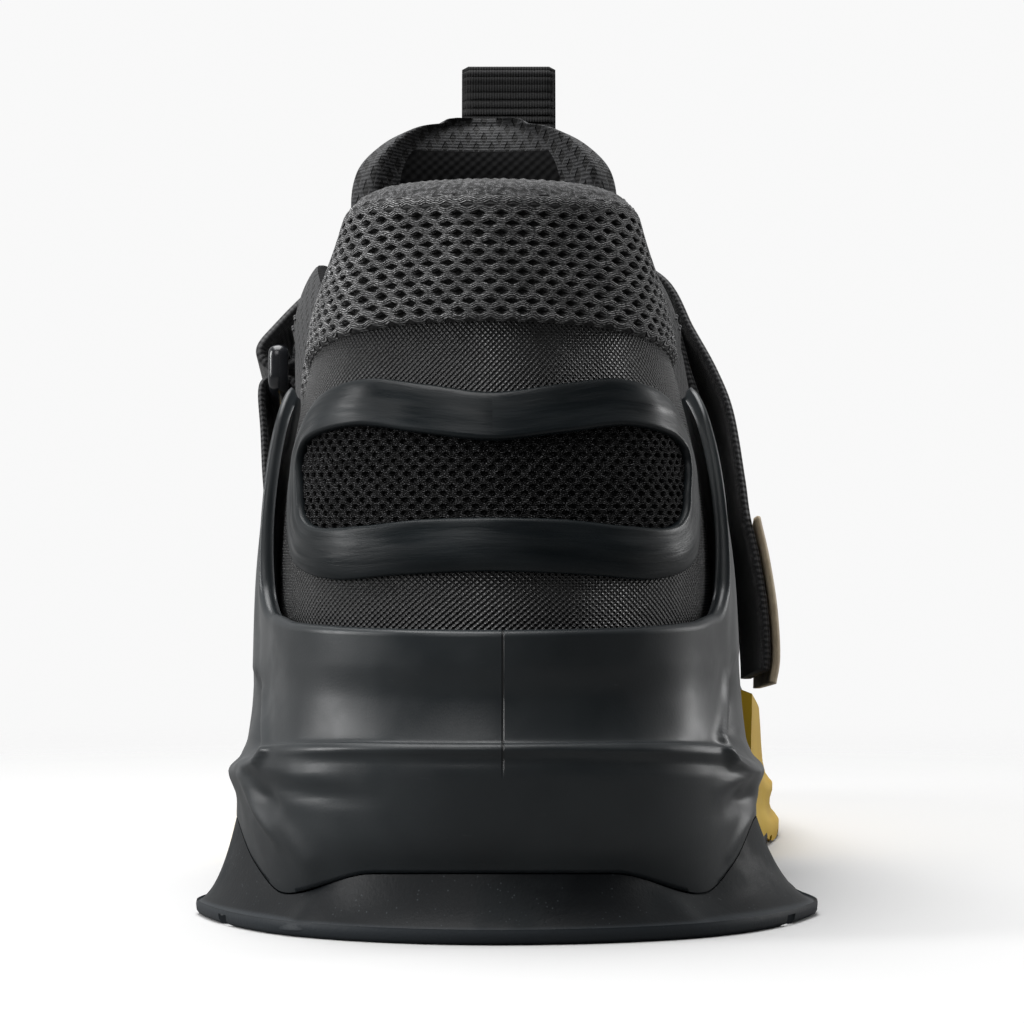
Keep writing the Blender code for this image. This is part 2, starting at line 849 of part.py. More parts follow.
def forefoot_rings():
    clear = LIP_WALL + GAP
    rings = [[bed_point(u, SEAM_SHELF, 0.0) for u in RING]]
    ring = []
    for u in RING:
        point = side_point(u, 0.0, clear)
        point[2] = cup_floor(u, LIP_WALL)
        ring.append(point)
    rings.append(ring)
    for share in LIP_SHARES:
        rings.append([side_point(u, lip_level(u, share), clear) for u in RING])
    rings.append([side_point(u, cup_rim_height(u), clear) for u in RING])
    for out_share, up_share in zip(CUP["out"], CUP["up"]):
        ring = []
        for u in RING:
            reach = CUP_FLARE * cup_flare_share(u)
            out = clear + CUP_WALL + out_share * max(reach - clear - CUP_WALL, FLARE_LEAST)
            point = side_point(u, 0.0, out)
            floor = underside_height(point[1])
            height = floor + up_share * (cup_rim_height(u) - floor)
            if height > skin(u, 0.0)[2]:
                point = side_point(u, height, out)
            point[2] = height
            ring.append(point)
        rings.append(ring)
    ring = []
    for u in RING:
        point = side_point(u, 0.0, -CUP_SEAT)
        point[2] = underside_height(point[1])
        ring.append(point)
    rings.append(ring)
    return rings


def make_box(name, centre, size, collection):
    shape = bmesh.new()
    bmesh.ops.create_cube(shape, size=1.0)
    bmesh.ops.scale(shape, vec=Vector(size), verts=shape.verts)
    bmesh.ops.translate(shape, vec=Vector((centre[0], centre[1] - HEEL_SEAT, centre[2])), verts=shape.verts)
    mesh = bpy.data.meshes.new(name)
    shape.to_mesh(mesh)
    shape.free()
    box = bpy.data.objects.new(name, mesh)
    box.hide_render = True
    box.display_type = "WIRE"
    collection.objects.link(box)
    return box


def cut(piece, cutter):
    modifier = piece.modifiers.new("Cut by " + cutter.name, "BOOLEAN")
    modifier.operation = "DIFFERENCE"
    modifier.object = cutter


def build_sole(collection, cutters):
    slate = make_material("slate_moulded_foam", (0.030, 0.036, 0.042), 0.42)
    rubber = make_material("black_rubber", (0.022, 0.027, 0.032), 0.55)
    mustard = make_material("mustard_rubber", (0.62, 0.42, 0.03), 0.55)
    make_mesh("midsole", midsole_rings(), slate, collection)
    heel = make_mesh("heel_outsole", heel_outsole_rings(), rubber, collection)
    fore = make_mesh("forefoot_outsole", forefoot_rings(), mustard, collection)

    room = 0.4
    ahead = make_box("ahead_of_joint", (0.0, SOLE_JOINT + 0.5 * room, 0.0), (room, room, room), cutters)
    behind = make_box("behind_joint", (0.0, SOLE_JOINT + GAP - 0.5 * room, 0.0), (room, room, room), cutters)
    cut(heel, ahead)
    cut(fore, behind)
    for name, piece, first, spacing, count in (
        ("heel_grooves", heel, 0.10 * SHOE_LENGTH, 0.075 * SHOE_LENGTH, 4),
        ("forefoot_grooves", fore, 0.60 * SHOE_LENGTH, 0.05 * SHOE_LENGTH, 5),
    ):
        size = (room, GROOVE_WIDTH, 2.0 * GROOVE_DEPTH)
        groove = make_box(name, (0.0, first, 0.0), size, cutters)
        copies = groove.modifiers.new("Rows", "ARRAY")
        copies.use_relative_offset = False
        copies.use_constant_offset = True
        copies.constant_offset_displace = (0.0, spacing, 0.0)
        copies.count = count
        copies.merge_threshold = 0.0001
        cut(piece, groove)


# Upper and insole

def upper_rings():
    rings = [[outer_skin(u, v) for u in RING] for v in UPPER_SHARES]
    rim = []
    for u in RING:
        outside = outer_skin(u, 1.0)
        inside = inner_skin(u, 1.0)
        rise = skin(u, 1.0) - skin(u, 0.97)
        rise = rise / np.linalg.norm(rise)
        rim.append(0.5 * (outside + inside) + RIM_SWELL * np.linalg.norm(outside - inside) * rise)
    rings.append(rim)
    rings += [[inner_skin(u, v) for u in RING] for v in LINING_SHARES]
    return rings


def build_upper(collection):
    textile = make_material("black_textile", (0.020, 0.021, 0.023), 0.75)
    return make_mesh("upper", upper_rings(), textile, collection, closed=True)


def build_insole(collection):
    foam = make_material("black_insole", (0.030, 0.030, 0.032), 0.85)
    rings = [[footbed_point(u, BED_INSET, GAP) for u in RING]]
    for rise, inset in ((0.25, 1.5 * INSOLE_INSET), (0.86, INSOLE_INSET), (1.0, INSOLE_ROUND)):
        ring = []
        for u in RING:
            height = skin(u, 0.0)[2] + rise * INSOLE_THICK
            ring.append(side_point(u, height, -(UPPER_WALL + inset)))
        rings.append(ring)
    rings.append([footbed_point(u, INSOLE_DISH, GAP + 0.72 * INSOLE_THICK) for u in RING])
    make_mesh("insole", rings, foam, collection)


# Trim of the heel, tongue, strap and lace

def closed_curve(points, count):
    """Smooth closed curve through the points."""
    points = np.array(points)
    curve = []
    for step in range(count):
        place = step * len(points) / count
        base = int(place)
        t = place - base
        p0, p1, p2, p3 = (points[(base + shift) % len(points)] for shift in (-1, 0, 1, 2))
        curve.append(p1 + 0.5 * t * (p2 - p0 + t * (2 * p0 - 5 * p1 + 4 * p2 - p3
                                                    + t * (3 * p1 - p0 - 3 * p2 + p3))))
    return curve


def film_outline(across_name, up_name):
    half = list(zip(FILM[across_name] * FILM_REACH, FILM[up_name] * COLLAR_HEIGHT))
    other = [(-across, up) for across, up in half[-2:0:-1]]
    return closed_curve(half + other, FILM_STEPS)


def film_ring_rings():
    outer = film_outline("across", "up")
    window = film_outline("window_across", "window_up")
    rings = []
    for outer_place, window_place in zip(outer, window):
        ring = []
        for share, rise in ((0.0, 0.0), (0.0, 0.35), (0.22, 0.85), (0.5, 1.0), (0.78, 0.85), (1.0, 0.35),
                            (1.0, 0.0), (0.5, 0.0)):
            u, height = outer_place + share * (window_place - outer_place)
            v = share_at_height(u, height)
            ring.append(skin(u, v) + (FILM_SEAT + rise * FILM_THICK) * skin_normal(u, v))
        rings.append(ring)
    return rings


def build_film_ring(collection):
    film = make_material("black_film", (0.018, 0.022, 0.024), 0.28)
    make_mesh("heel_film_ring", film_ring_rings(), film, collection, closed=True)


def tongue_stations():
    """Middle point, half width, thickness and wrap of the tongue from its foot to its top."""
    stations = []
    for row in (13.0, 12.0, 10.8, 9.8, 8.8, 7.8, 6.9, 6.2):
        top = 0.5 * (skin(row, 1.0) + skin(LOOP_ROWS - row, 1.0))
        half = 0.5 * (skin(LOOP_ROWS - row, 1.0)[0] - skin(row, 1.0)[0])
        half += TONGUE_SIDE - TONGUE_NARROWING * ease((8.4 - row) / 2.2)
        drop = TONGUE_DROP + (UPPER_WALL + GAP - TONGUE_DROP + TONGUE_CLEAR) * ease((row - 9.0) / 3.0)
        ahead = TONGUE_TUCK if row == 13.0 else 0.0
        middle = top + np.array((0.0, ahead, -drop))
        thick = TONGUE_THICK + 0.35 * (TONGUE_PAD - TONGUE_THICK) * ease((9.0 - row) / 3.0)
        stations.append((middle, max(half, TONGUE_FOOT), thick, TONGUE_SAG))
    lean = 0.5 * TOP["centre"][5] * BALL_WIDTH
    columns = (TONGUE[name] for name in ("along", "up", "wide", "thick", "wrap"))
    for along, up, wide, thick, wrap in zip(*columns):
        middle = np.array((lean, along * SHOE_LENGTH, up * TONGUE_HEIGHT))
        stations.append((middle, 0.5 * wide * TONGUE_TOP_WIDTH, thick * TONGUE_PAD, wrap * TONGUE_PAD))
    return stations


def tongue_rings():
    stations = tongue_stations()
    middles = np.array([station[0] for station in stations])
    ways = np.gradient(middles, axis=0)
    rings = []
    for (middle, half, thick, wrap), way in zip(stations, ways):
        out = np.array((0.0, way[2], -way[1]))
        out /= np.linalg.norm(out)
        shares = np.linspace(-1.0, 1.0, TONGUE_POINTS)
        front = [middle + np.array((s * half, 0.0, 0.0)) - wrap * s * s * out for s in shares]
        back = [middle + np.array((s * half, 0.0, 0.0)) - (wrap * s * s + thick * (1 - s ** 4)) * out
                for s in shares[-2:0:-1]]
        rings.append(front + back)
    return rings


def build_tongue(collection):
    knit = make_material("dark_grey_mesh", (0.045, 0.047, 0.052), 0.85)
    ribbon = make_material("black_ribbon", (0.016, 0.016, 0.018), 0.80)
    make_mesh("tongue", tongue_rings(), knit, collection)
    top = tongue_stations()[-1][0]
    grid = []
    for ahead, up in zip(PULL["ahead"], PULL["up"]):
        place = top + LOOP_RISE * np.array((0.0, ahead, up))
        edges = (LOOP_SHIFT - 0.5 * LOOP_WIDTH, LOOP_SHIFT, LOOP_SHIFT + 0.5 * LOOP_WIDTH)
        grid.append([place + np.array((edge, 0.0, 0.0)) for edge in edges])
    make_mesh("tongue_loop", slab_rings(grid, RIBBON), ribbon, collection, tips=False)


def band_grid(rows):
    """Points across a band whose edges run through a table, at the strap's place along the shoe."""
    grid = []
    for rear_x, rear_z, front_x, front_z in zip(*(rows[n] for n in ("rear_x", "rear_z", "front_x", "front_z"))):
        rear = np.array((0.5 * BALL_WIDTH * rear_x, STRAP_AHEAD, INSTEP_HEIGHT * rear_z))
        front = np.array((0.5 * BALL_WIDTH * front_x, STRAP_AHEAD + STRAP_WIDTH, INSTEP_HEIGHT * front_z))
        grid.append([rear, 0.5 * (rear + front), front])
    return grid


def ring_place():
    """Middle of the ring, in the fold of the strap and above the fold of its webbing, and its forward tilt."""
    fold = int(np.argmin(STRAP["rear_z"][RING_FOLD]) + RING_FOLD.start)
    held = int(np.argmax(HOLDER["rear_z"]))
    across = 0.5 * BALL_WIDTH * STRAP["rear_x"][fold]
    rear = 0.5 * INSTEP_HEIGHT * (STRAP["rear_z"][fold] + HOLDER["rear_z"][held])
    front = 0.5 * INSTEP_HEIGHT * (STRAP["front_z"][fold] + HOLDER["front_z"][held])
    return across, 0.5 * (rear + front), rear - front


def ring_rings():
    out, middle_up, fall = ring_place()
    half_long = 0.5 * STRAP_WIDTH + 2.0 * GAP + RING_BAR
    half_high = 0.5 * (RING_OPENING + RING_BAR)
    rings = []
    for step in range(RING_STEPS):
        turn = 2.0 * math.pi * step / RING_STEPS
        cosine = math.copysign(abs(math.cos(turn)) ** 0.28, math.cos(turn))
        sine = math.copysign(abs(math.sin(turn)) ** 0.28, math.sin(turn))
        out_y = math.copysign(abs(math.cos(turn)) ** 1.72, math.cos(turn)) / half_long
        out_z = math.copysign(abs(math.sin(turn)) ** 1.72, math.sin(turn)) / half_high
        size = math.hypot(out_y, out_z)
        ring = []
        for corner in range(RING_SIDES):
            angle = 2.0 * math.pi * (corner + 0.5) / RING_SIDES
            reach = 0.5 * RING_BAR * math.cos(angle)
            ahead = half_long * cosine + reach * out_y / size
            up = half_high * sine + reach * out_z / size
            across = 0.5 * RING_DEPTH * math.sin(angle)
            tilt = -fall * ahead / STRAP_WIDTH
            middle = STRAP_AHEAD + 0.5 * STRAP_WIDTH + ahead
            ring.append(np.array((across + out, middle, middle_up + up + tilt)))
        rings.append(ring)
    return rings


def build_strap(collection):
    web = make_material("black_webbing", (0.018, 0.018, 0.020), 0.85)
    tan = make_material("tan_tab", (0.52, 0.40, 0.26), 0.60)
    gloss = make_material("black_moulded", (0.014, 0.015, 0.017), 0.22)
    strap = band_grid(STRAP)
    make_mesh("strap", slab_rings(strap, STRAP_THICK, last=-1), web, collection, tips=False)
    shift = 0.5 * STRAP_THICK + 1.5 * GAP + 0.5 * WEBBING
    tab = slab_rings(strap, WEBBING, shift, first=-TAB_ROWS)
    make_mesh("strap_end_tab", tab, tan, collection, tips=False)
    make_mesh("ring_tab", slab_rings(band_grid(HOLDER), WEBBING), web, collection, tips=False)
    make_mesh("strap_ring", ring_rings(), gloss, collection, closed=True)


def eyelet_rows():
    return np.linspace(*EYELET_ROWS, EYELET_PAIRS)


def eyelet_place(row, side, lift):
    u = row if side < 0 else LOOP_ROWS - row
    return outer_skin(u, EYELET_SHARE, lift), skin_normal(u, EYELET_SHARE)


def punch_eyelets(upper, cutters):
    for number, row in enumerate(eyelet_rows(), start=1):
        for side, letter in ((-1, "inner"), (1, "outer")):
            place, way = eyelet_place(row, side, 0.0)
            shape = bmesh.new()
            radius = 0.5 * EYELET_BORE
            bmesh.ops.create_cone(shape, cap_ends=True, segments=8, radius1=radius, radius2=radius,
                                  depth=6.0 * UPPER_WALL)
            turn = Vector((0.0, 0.0, 1.0)).rotation_difference(Vector(way)).to_matrix()
            bmesh.ops.rotate(shape, matrix=turn, verts=shape.verts)
            seat = Vector((place[0], place[1] - HEEL_SEAT, place[2]))
            bmesh.ops.translate(shape, vec=seat, verts=shape.verts)
            mesh = bpy.data.meshes.new("eyelet")
            shape.to_mesh(mesh)
            shape.free()
            cutter = bpy.data.objects.new(f"eyelet_{letter}_{number}", mesh)
            cutter.hide_render = True
            cutter.display_type = "WIRE"
            cutters.objects.link(cutter)
            cut(upper, cutter)


def lace_curve(name, first_side, collection):
    """One strand that crosses the throat from each pair of eyelets to the next."""
    lift = 0.5 * LACE_THICK + 2.5 * GAP
    points = []
    side = first_side
    rows = eyelet_rows()
    for row, next_row in zip(rows, rows[1:]):
        start, _ = eyelet_place(row, side, lift)
        end, _ = eyelet_place(next_row, -side, lift)
        for share in (0.0, 0.1, 0.3, 0.5, 0.7, 0.9):
            arch = LACE_ARCH * (1.0 - (2.0 * share - 1.0) ** 6)
            points.append(start + share * (end - start) + np.array((0.0, 0.0, arch)))
        side = -side
    points.append(end)
    data = bpy.data.curves.new(name, "CURVE")
    data.dimensions = "3D"
    data.bevel_depth = 0.5 * LACE_THICK
    data.bevel_resolution = 1
    data.use_fill_caps = True
    line = data.splines.new("POLY")
    line.points.add(len(points) - 1)
    for knot, place in zip(line.points, points):
        knot.co = (place[0], place[1] - HEEL_SEAT, place[2], 1.0)
    curve = bpy.data.objects.new(name, data)
    collection.objects.link(curve)
    return curve


def curve_to_mesh(curve, name, material, collection):
    graph = bpy.context.evaluated_depsgraph_get()
    mesh = bpy.data.meshes.new_from_object(curve.evaluated_get(graph))
    shape = bmesh.new()
    shape.from_mesh(mesh)
    bmesh.ops.remove_doubles(shape, verts=shape.verts, dist=0.00001)
    bmesh.ops.recalc_face_normals(shape, faces=shape.faces)
    shape.to_mesh(mesh)
    shape.free()
    piece = bpy.data.objects.new(name, mesh)
    piece.matrix_world = curve.matrix_world
    collection.objects.link(piece)
    bpy.data.objects.remove(curve, do_unlink=True)
    mesh.materials.clear()
    mesh.materials.append(material)
    return piece


def build_lace(collection, cutters):
    cord = make_material("black_lace", (0.020, 0.020, 0.022), 0.85)
    strand = curve_to_mesh(lace_curve("strand_a", -1, collection), "lace", cord, collection)
    other = curve_to_mesh(lace_curve("strand_b", 1, cutters), "other_strand", cord, cutters)
    other.hide_render = True
    other.display_type = "WIRE"
    join = strand.modifiers.new("Crossings", "BOOLEAN")
    join.operation = "UNION"
    join.object = other


def build_shoe():
    for thing in list(bpy.data.objects):
        bpy.data.objects.remove(thing, do_unlink=True)
    collection = add_collection(COLLECTION_NAME)
    cutters = add_collection(CUTTERS_NAME)
    build_sole(collection, cutters)
    upper = build_upper(collection)
    punch_eyelets(upper, cutters)
    build_insole(collection)
    build_film_ring(collection)
    build_tongue(collection)
    build_strap(collection)
    build_lace(collection, cutters)


build_shoe()
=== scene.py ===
# A right weightlifting shoe seen from behind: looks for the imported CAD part.
import math

import bmesh
import bpy
import numpy as np
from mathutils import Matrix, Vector


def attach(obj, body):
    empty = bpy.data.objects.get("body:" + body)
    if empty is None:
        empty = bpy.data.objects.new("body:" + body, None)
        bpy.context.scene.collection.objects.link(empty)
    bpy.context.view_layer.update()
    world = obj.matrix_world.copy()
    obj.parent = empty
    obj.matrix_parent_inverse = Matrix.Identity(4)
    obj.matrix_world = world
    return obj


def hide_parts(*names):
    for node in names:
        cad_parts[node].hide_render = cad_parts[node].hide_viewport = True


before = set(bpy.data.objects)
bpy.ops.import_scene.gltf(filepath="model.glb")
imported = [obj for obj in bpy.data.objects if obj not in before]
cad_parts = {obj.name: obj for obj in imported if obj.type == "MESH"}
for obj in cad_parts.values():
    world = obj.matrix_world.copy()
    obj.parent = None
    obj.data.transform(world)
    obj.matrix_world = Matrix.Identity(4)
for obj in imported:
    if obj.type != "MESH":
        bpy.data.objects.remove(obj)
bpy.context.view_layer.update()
scene = bpy.context.scene
root = "root"

# the last: the same rows and shares as the part's source, lengths in metres
last = {
    "shoeLength": 0.292, "heelWidth": 0.0652, "ballWidth": 0.0870, "collarHeight": 0.1100,
    "collarWidth": 0.0440, "instepHeight": 0.1015, "throatWidth": 0.0380, "vampHeight": 0.0628,
    "heelStack": 0.0310, "foreStack": 0.0140, "toeSpring": 0.0090, "heelPlate": 0.0070,
    "forePlate": 0.0060, "seamHeight": 0.0150, "soleFlare": 0.0160, "wallOut": 0.0090,
    "rimHeight": 0.0140, "wingHeight": 0.0815, "wingGap": 0.0012, "cupRim": 0.0105,
    "cupWall": 0.0022, "cupFlare": 0.0090, "lipWall": 0.0019, "archLift": 0.0022,
    "soleJoint": 0.1460, "heelSeat": 0.0400, "gap": 0.0003, "upperWall": 0.0022,
    "collarPad": 0.0042, "overlay": 0.0009, "insoleThick": 0.0040,
}

# along, heel, ball, centre: rows from the back of the heel to the tip of the toe
featherLine = np.array([
    (0.034, 0.000, 0.000, 0.000), (0.049, 0.466, 0.000, 0.000), (0.087, 0.791, 0.000, 0.000),
    (0.158, 0.969, 0.000, 0.005), (0.267, 1.000, 0.000, 0.020), (0.384, 0.220, 0.608, 0.050),
    (0.500, 0.000, 0.872, 0.068), (0.610, 0.000, 0.965, 0.060), (0.706, 0.000, 1.000, 0.034),
    (0.795, 0.000, 0.962, -0.014), (0.877, 0.000, 0.812, -0.068), (0.938, 0.000, 0.568, -0.112),
    (0.974, 0.000, 0.292, -0.138), (0.986, 0.000, 0.000, -0.147)])
# along, collar, throat, centre, back, instep, vamp
topLine = np.array([
    (0.0445, 0.000, 0.000, -0.006, 0.974, 0.000, 0.000), (0.0592, 0.580, 0.000, -0.006, 0.973, 0.000, 0.000),
    (0.0866, 0.910, 0.000, -0.006, 0.966, 0.000, 0.000), (0.1370, 1.020, 0.000, -0.014, 0.924, 0.000, 0.000),
    (0.2123, 1.095, 0.000, -0.030, 0.848, 0.000, 0.000), (0.2945, 1.227, 0.000, -0.045, 0.000, 1.002, 0.000),
    (0.3630, 0.000, 1.000, -0.022, 0.000, 0.941, 0.000), (0.4384, 0.000, 0.868, 0.000, 0.000, 0.852, 0.000),
    (0.5137, 0.000, 0.737, 0.018, 0.000, 0.759, 0.000), (0.5753, 0.000, 0.605, 0.010, 0.000, 0.000, 1.115),
    (0.6164, 0.000, 0.447, -0.010, 0.000, 0.000, 1.051), (0.6370, 0.000, 0.263, -0.022, 0.000, 0.000, 1.019),
    (0.6455, 0.000, 0.137, -0.027, 0.000, 0.000, 1.006), (0.6490, 0.000, 0.000, -0.029, 0.000, 0.000, 1.000)])
# lowOut, lowUp, highOut, highAhead, highDown: shares of the wall's height
fullness = np.array([
    (0.089, 0.392, -0.089, 0.000, 0.316), (0.089, 0.395, -0.072, 0.000, 0.300),
    (0.082, 0.400, 0.000, 0.000, 0.250), (0.075, 0.417, 0.058, 0.000, 0.194),
    (0.078, 0.403, 0.047, 0.000, 0.217), (0.047, 0.400, 0.107, 0.000, 0.133),
    (0.033, 0.420, 0.158, 0.040, 0.079), (0.021, 0.366, 0.225, 0.113, 0.056),
    (0.019, 0.365, 0.286, 0.222, 0.048), (0.022, 0.400, 0.310, 0.400, 0.036),
    (0.030, 0.457, 0.265, 0.650, 0.030), (0.044, 0.536, 0.180, 0.890, 0.027),
    (0.060, 0.590, 0.095, 1.100, 0.024), (0.073, 0.630, 0.000, 1.170, 0.024)])
# along, then shares of the heel stack, the forefoot stack and the toe spring
footbed = np.array([
    (0.000, 1.00, 0.00, 0.00), (0.270, 0.98, 0.00, 0.00), (0.380, 0.72, 0.28, 0.00),
    (0.500, 0.34, 0.66, 0.00), (0.600, 0.08, 0.92, 0.00), (0.700, 0.00, 1.00, 0.00),
    (0.800, 0.00, 1.00, 0.09), (0.880, 0.00, 1.00, 0.32), (0.940, 0.00, 1.00, 0.60),
    (1.000, 0.00, 1.00, 0.90)])
# along, then shares of the arch lift and the toe spring
underside = np.array([
    (0.000, 0.00, 0.00), (0.350, 0.00, 0.00), (0.430, 0.90, 0.00), (0.500, 1.00, 0.00), (0.560, 0.90, 0.00),
    (0.620, 0.00, 0.00), (0.800, 0.00, 0.00), (0.880, 0.00, 0.22), (0.940, 0.00, 0.52), (1.000, 0.00, 0.92)])
# row, then out and up of the seam, belly, edge, step and scoop
midsoleSide = np.array([
    (0.0, 0.50, 0.65, 0.76, 0.52, 0.88, 0.895, 0.60, 0.935, 0.38, 1.12),
    (1.0, 0.52, 0.62, 0.78, 0.51, 0.90, 0.890, 0.62, 0.932, 0.40, 1.12),
    (2.0, 0.68, 0.35, 0.86, 0.47, 0.98, 0.850, 0.70, 0.905, 0.50, 1.11),
    (2.5, 0.82, 0.62, 0.92, 0.52, 1.05, 0.770, 0.76, 0.850, 0.50, 1.08),
    (3.0, 0.93, 0.98, 0.94, 0.59, 1.07, 0.715, 0.84, 0.800, 0.68, 1.00),
    (3.6, 0.92, 0.92, 0.90, 0.57, 1.03, 0.700, 0.82, 0.790, 0.70, 0.97),
    (4.5, 0.78, 0.62, 0.76, 0.44, 0.80, 0.620, 0.70, 0.700, 0.60, 0.86),
    (5.5, 0.62, 0.48, 0.62, 0.34, 0.62, 0.470, 0.56, 0.540, 0.46, 0.64),
    (6.0, 0.58, 0.46, 0.58, 0.32, 0.58, 0.440, 0.54, 0.500, 0.44, 0.60)])
# row, rim, wing, out
midsoleRim = np.array([
    (0.0, 1.00, 0.00, 0.34), (1.0, 1.01, 0.00, 0.34), (2.0, 1.05, 0.00, 0.38), (2.5, 1.12, 0.00, 0.36),
    (2.8, 0.80, 0.16, 0.40), (3.05, 0.30, 0.66, 0.40), (3.25, 0.10, 0.91, 0.38), (3.5, 0.00, 1.00, 0.36),
    (3.8, 0.00, 0.92, 0.36), (4.2, 0.10, 0.62, 0.34), (4.6, 0.40, 0.24, 0.32), (5.2, 0.86, 0.00, 0.30),
    (6.0, 0.92, 0.00, 0.28), (7.0, 0.92, 0.00, 0.22), (10.0, 0.90, 0.00, 0.22), (13.0, 0.86, 0.00, 0.22)])
toeRow = 13
loopRows = 26


def smoothCurve(places, values):
    # a level-ended curve through a table's column
    steps = np.diff(values) / np.diff(places)
    both = steps[:-1] * steps[1:]
    slopes = np.zeros(len(places))
    slopes[1:-1] = np.where(both > 0, 2 * both / np.where(both > 0, steps[:-1] + steps[1:], 1), 0)

    def at(x):
        x = np.clip(x, places[0], places[-1])
        right = np.clip(np.searchsorted(places, x, side="right"), 1, len(places) - 1)
        left = right - 1
        span = places[right] - places[left]
        t = (x - places[left]) / span
        return ((1 + 2 * t) * (1 - t) ** 2 * values[left] + t * (1 - t) ** 2 * span * slopes[left]
                + t * t * (3 - 2 * t) * values[right] + t * t * (t - 1) * span * slopes[right])
    return at


def ease(x):
    x = np.clip(x, 0.0, 1.0)
    return x * x * (3 - 2 * x)


bedCurves = [smoothCurve(footbed[:, 0], footbed[:, k]) for k in (1, 2, 3)]
underCurves = [smoothCurve(underside[:, 0], underside[:, k]) for k in (1, 2)]
sideNames = ("seam", "belly", "edge", "step", "scoop")
sideOut = {n: smoothCurve(midsoleSide[:, 0], midsoleSide[:, 1 + 2 * k]) for k, n in enumerate(sideNames)}
sideUp = {n: smoothCurve(midsoleSide[:, 0], midsoleSide[:, 2 + 2 * k]) for k, n in enumerate(sideNames)}
rimCurve, wingCurve, rimOutCurve = (smoothCurve(midsoleRim[:, 0], midsoleRim[:, k]) for k in (1, 2, 3))


def footbedHeight(ahead):
    share = ahead / last["shoeLength"]
    heel, fore, spring = (curve(share) for curve in bedCurves)
    return heel * last["heelStack"] + fore * last["foreStack"] + spring * last["toeSpring"]


def undersideHeight(ahead):
    share = ahead / last["shoeLength"]
    return underCurves[0](share) * last["archLift"] + underCurves[1](share) * last["toeSpring"]


def rowOf(u):
    u = np.mod(u, loopRows)
    return np.minimum(u, loopRows - u)


def wallControls():
    feet, tops = [], []
    for place in range(loopRows):
        row = min(place, loopRows - place)
        side = -1.0 if place < toeRow else 1.0
        along, heel, ball, centre = featherLine[row]
        ahead = along * last["shoeLength"]
        half = 0.5 * (heel * last["heelWidth"] + ball * last["ballWidth"])
        middle = 0.5 * centre * last["ballWidth"]
        feet.append((middle + side * half, ahead, float(footbedHeight(ahead)) + last["gap"]))
        along, collar, throat, centre, back, instep, vamp = topLine[row]
        half = 0.5 * (collar * last["collarWidth"] + throat * last["throatWidth"])
        height = back * last["collarHeight"] + instep * last["instepHeight"] + vamp * last["vampHeight"]
        tops.append((0.5 * centre * last["ballWidth"] + side * half, along * last["shoeLength"], height))
    feet, tops = np.array(feet), np.array(tops)
    controls = []
    for place in range(loopRows):
        lowOut, lowUp, highOut, highAhead, highDown = fullness[min(place, loopRows - place)]
        way = feet[(place + 1) % loopRows] - feet[place - 1]
        out = np.array((-way[1], way[0], 0.0))
        out /= np.linalg.norm(out)
        rise = tops[place][2] - feet[place][2]
        low = feet[place] + rise * (lowOut * out + np.array((0, 0, lowUp)))
        high = tops[place] + rise * (highOut * out + np.array((0, highAhead, -highDown)))
        controls.append((feet[place], low, high, tops[place]))
    return np.array(controls)


controls = wallControls()


def skin(u, v):
    # u runs round the shoe in rows, v from the feather line up to the top line
    u, v = np.broadcast_arrays(np.asarray(u, float), np.asarray(v, float))
    base = np.floor(u).astype(int)
    t = (u - base)[..., None, None]
    p0, p1, p2, p3 = (controls[(base + k) % loopRows] for k in (-1, 0, 1, 2))
    row = p1 + 0.5 * t * (p2 - p0 + t * (2 * p0 - 5 * p1 + 4 * p2 - p3 + t * (3 * p1 - p0 - 3 * p2 + p3)))
    w, v = (1 - v)[..., None], v[..., None]
    return (w ** 3 * row[..., 0, :] + 3 * w * w * v * row[..., 1, :]
            + 3 * w * v * v * row[..., 2, :] + v ** 3 * row[..., 3, :])


def unit(vectors):
    return vectors / np.maximum(np.linalg.norm(vectors, axis=-1, keepdims=True), 1e-12)


def skinNormal(u, v):
    along = skin(np.add(u, 0.01), v) - skin(np.subtract(u, 0.01), v)
    up = skin(u, np.minimum(np.add(v, 0.01), 1.0)) - skin(u, np.maximum(np.subtract(v, 0.01), 0.0))
    return unit(np.cross(up, along))


def shareAtHeight(u, height):
    u, height = np.broadcast_arrays(np.asarray(u, float), np.asarray(height, float))
    low, high = np.zeros(u.shape), np.ones(u.shape)
    for _ in range(22):
        middle = 0.5 * (low + high)
        below = skin(u, middle)[..., 2] < height
        low, high = np.where(below, middle, low), np.where(below, high, middle)
    return 0.5 * (low + high)


def sidePoint(u, height, out):
    # a point at a height, a distance out from the upper, or from its feather line where it is lower
    v = np.where(np.asarray(height) > skin(u, 0.0)[..., 2], shareAtHeight(u, height), 0.0)
    flat = skinNormal(u, v) * (1.0, 1.0, 0.0)
    point = skin(u, v) + np.asarray(out)[..., None] * unit(flat)
    point[..., 2] = height
    return point


def collarShare(u):
    return 1.0 - ease((rowOf(u) - 3.6) / 1.4)


def eyestayShare(u):
    return ease((rowOf(u) - 4.4) / 0.8)


# meshes
def finish(name, mesh, materials, replaces=(), smooth=None):
    for material in materials:
        mesh.materials.append(material)
    mesh.shade_smooth()
    if smooth:
        mesh.set_sharp_from_angle(angle=math.radians(smooth))
    piece = bpy.data.objects.new(name, mesh)
    scene.collection.objects.link(piece)
    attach(piece, root)
    if replaces:
        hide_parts(*replaces)
    print("made", name, len(mesh.polygons), "faces")
    return piece


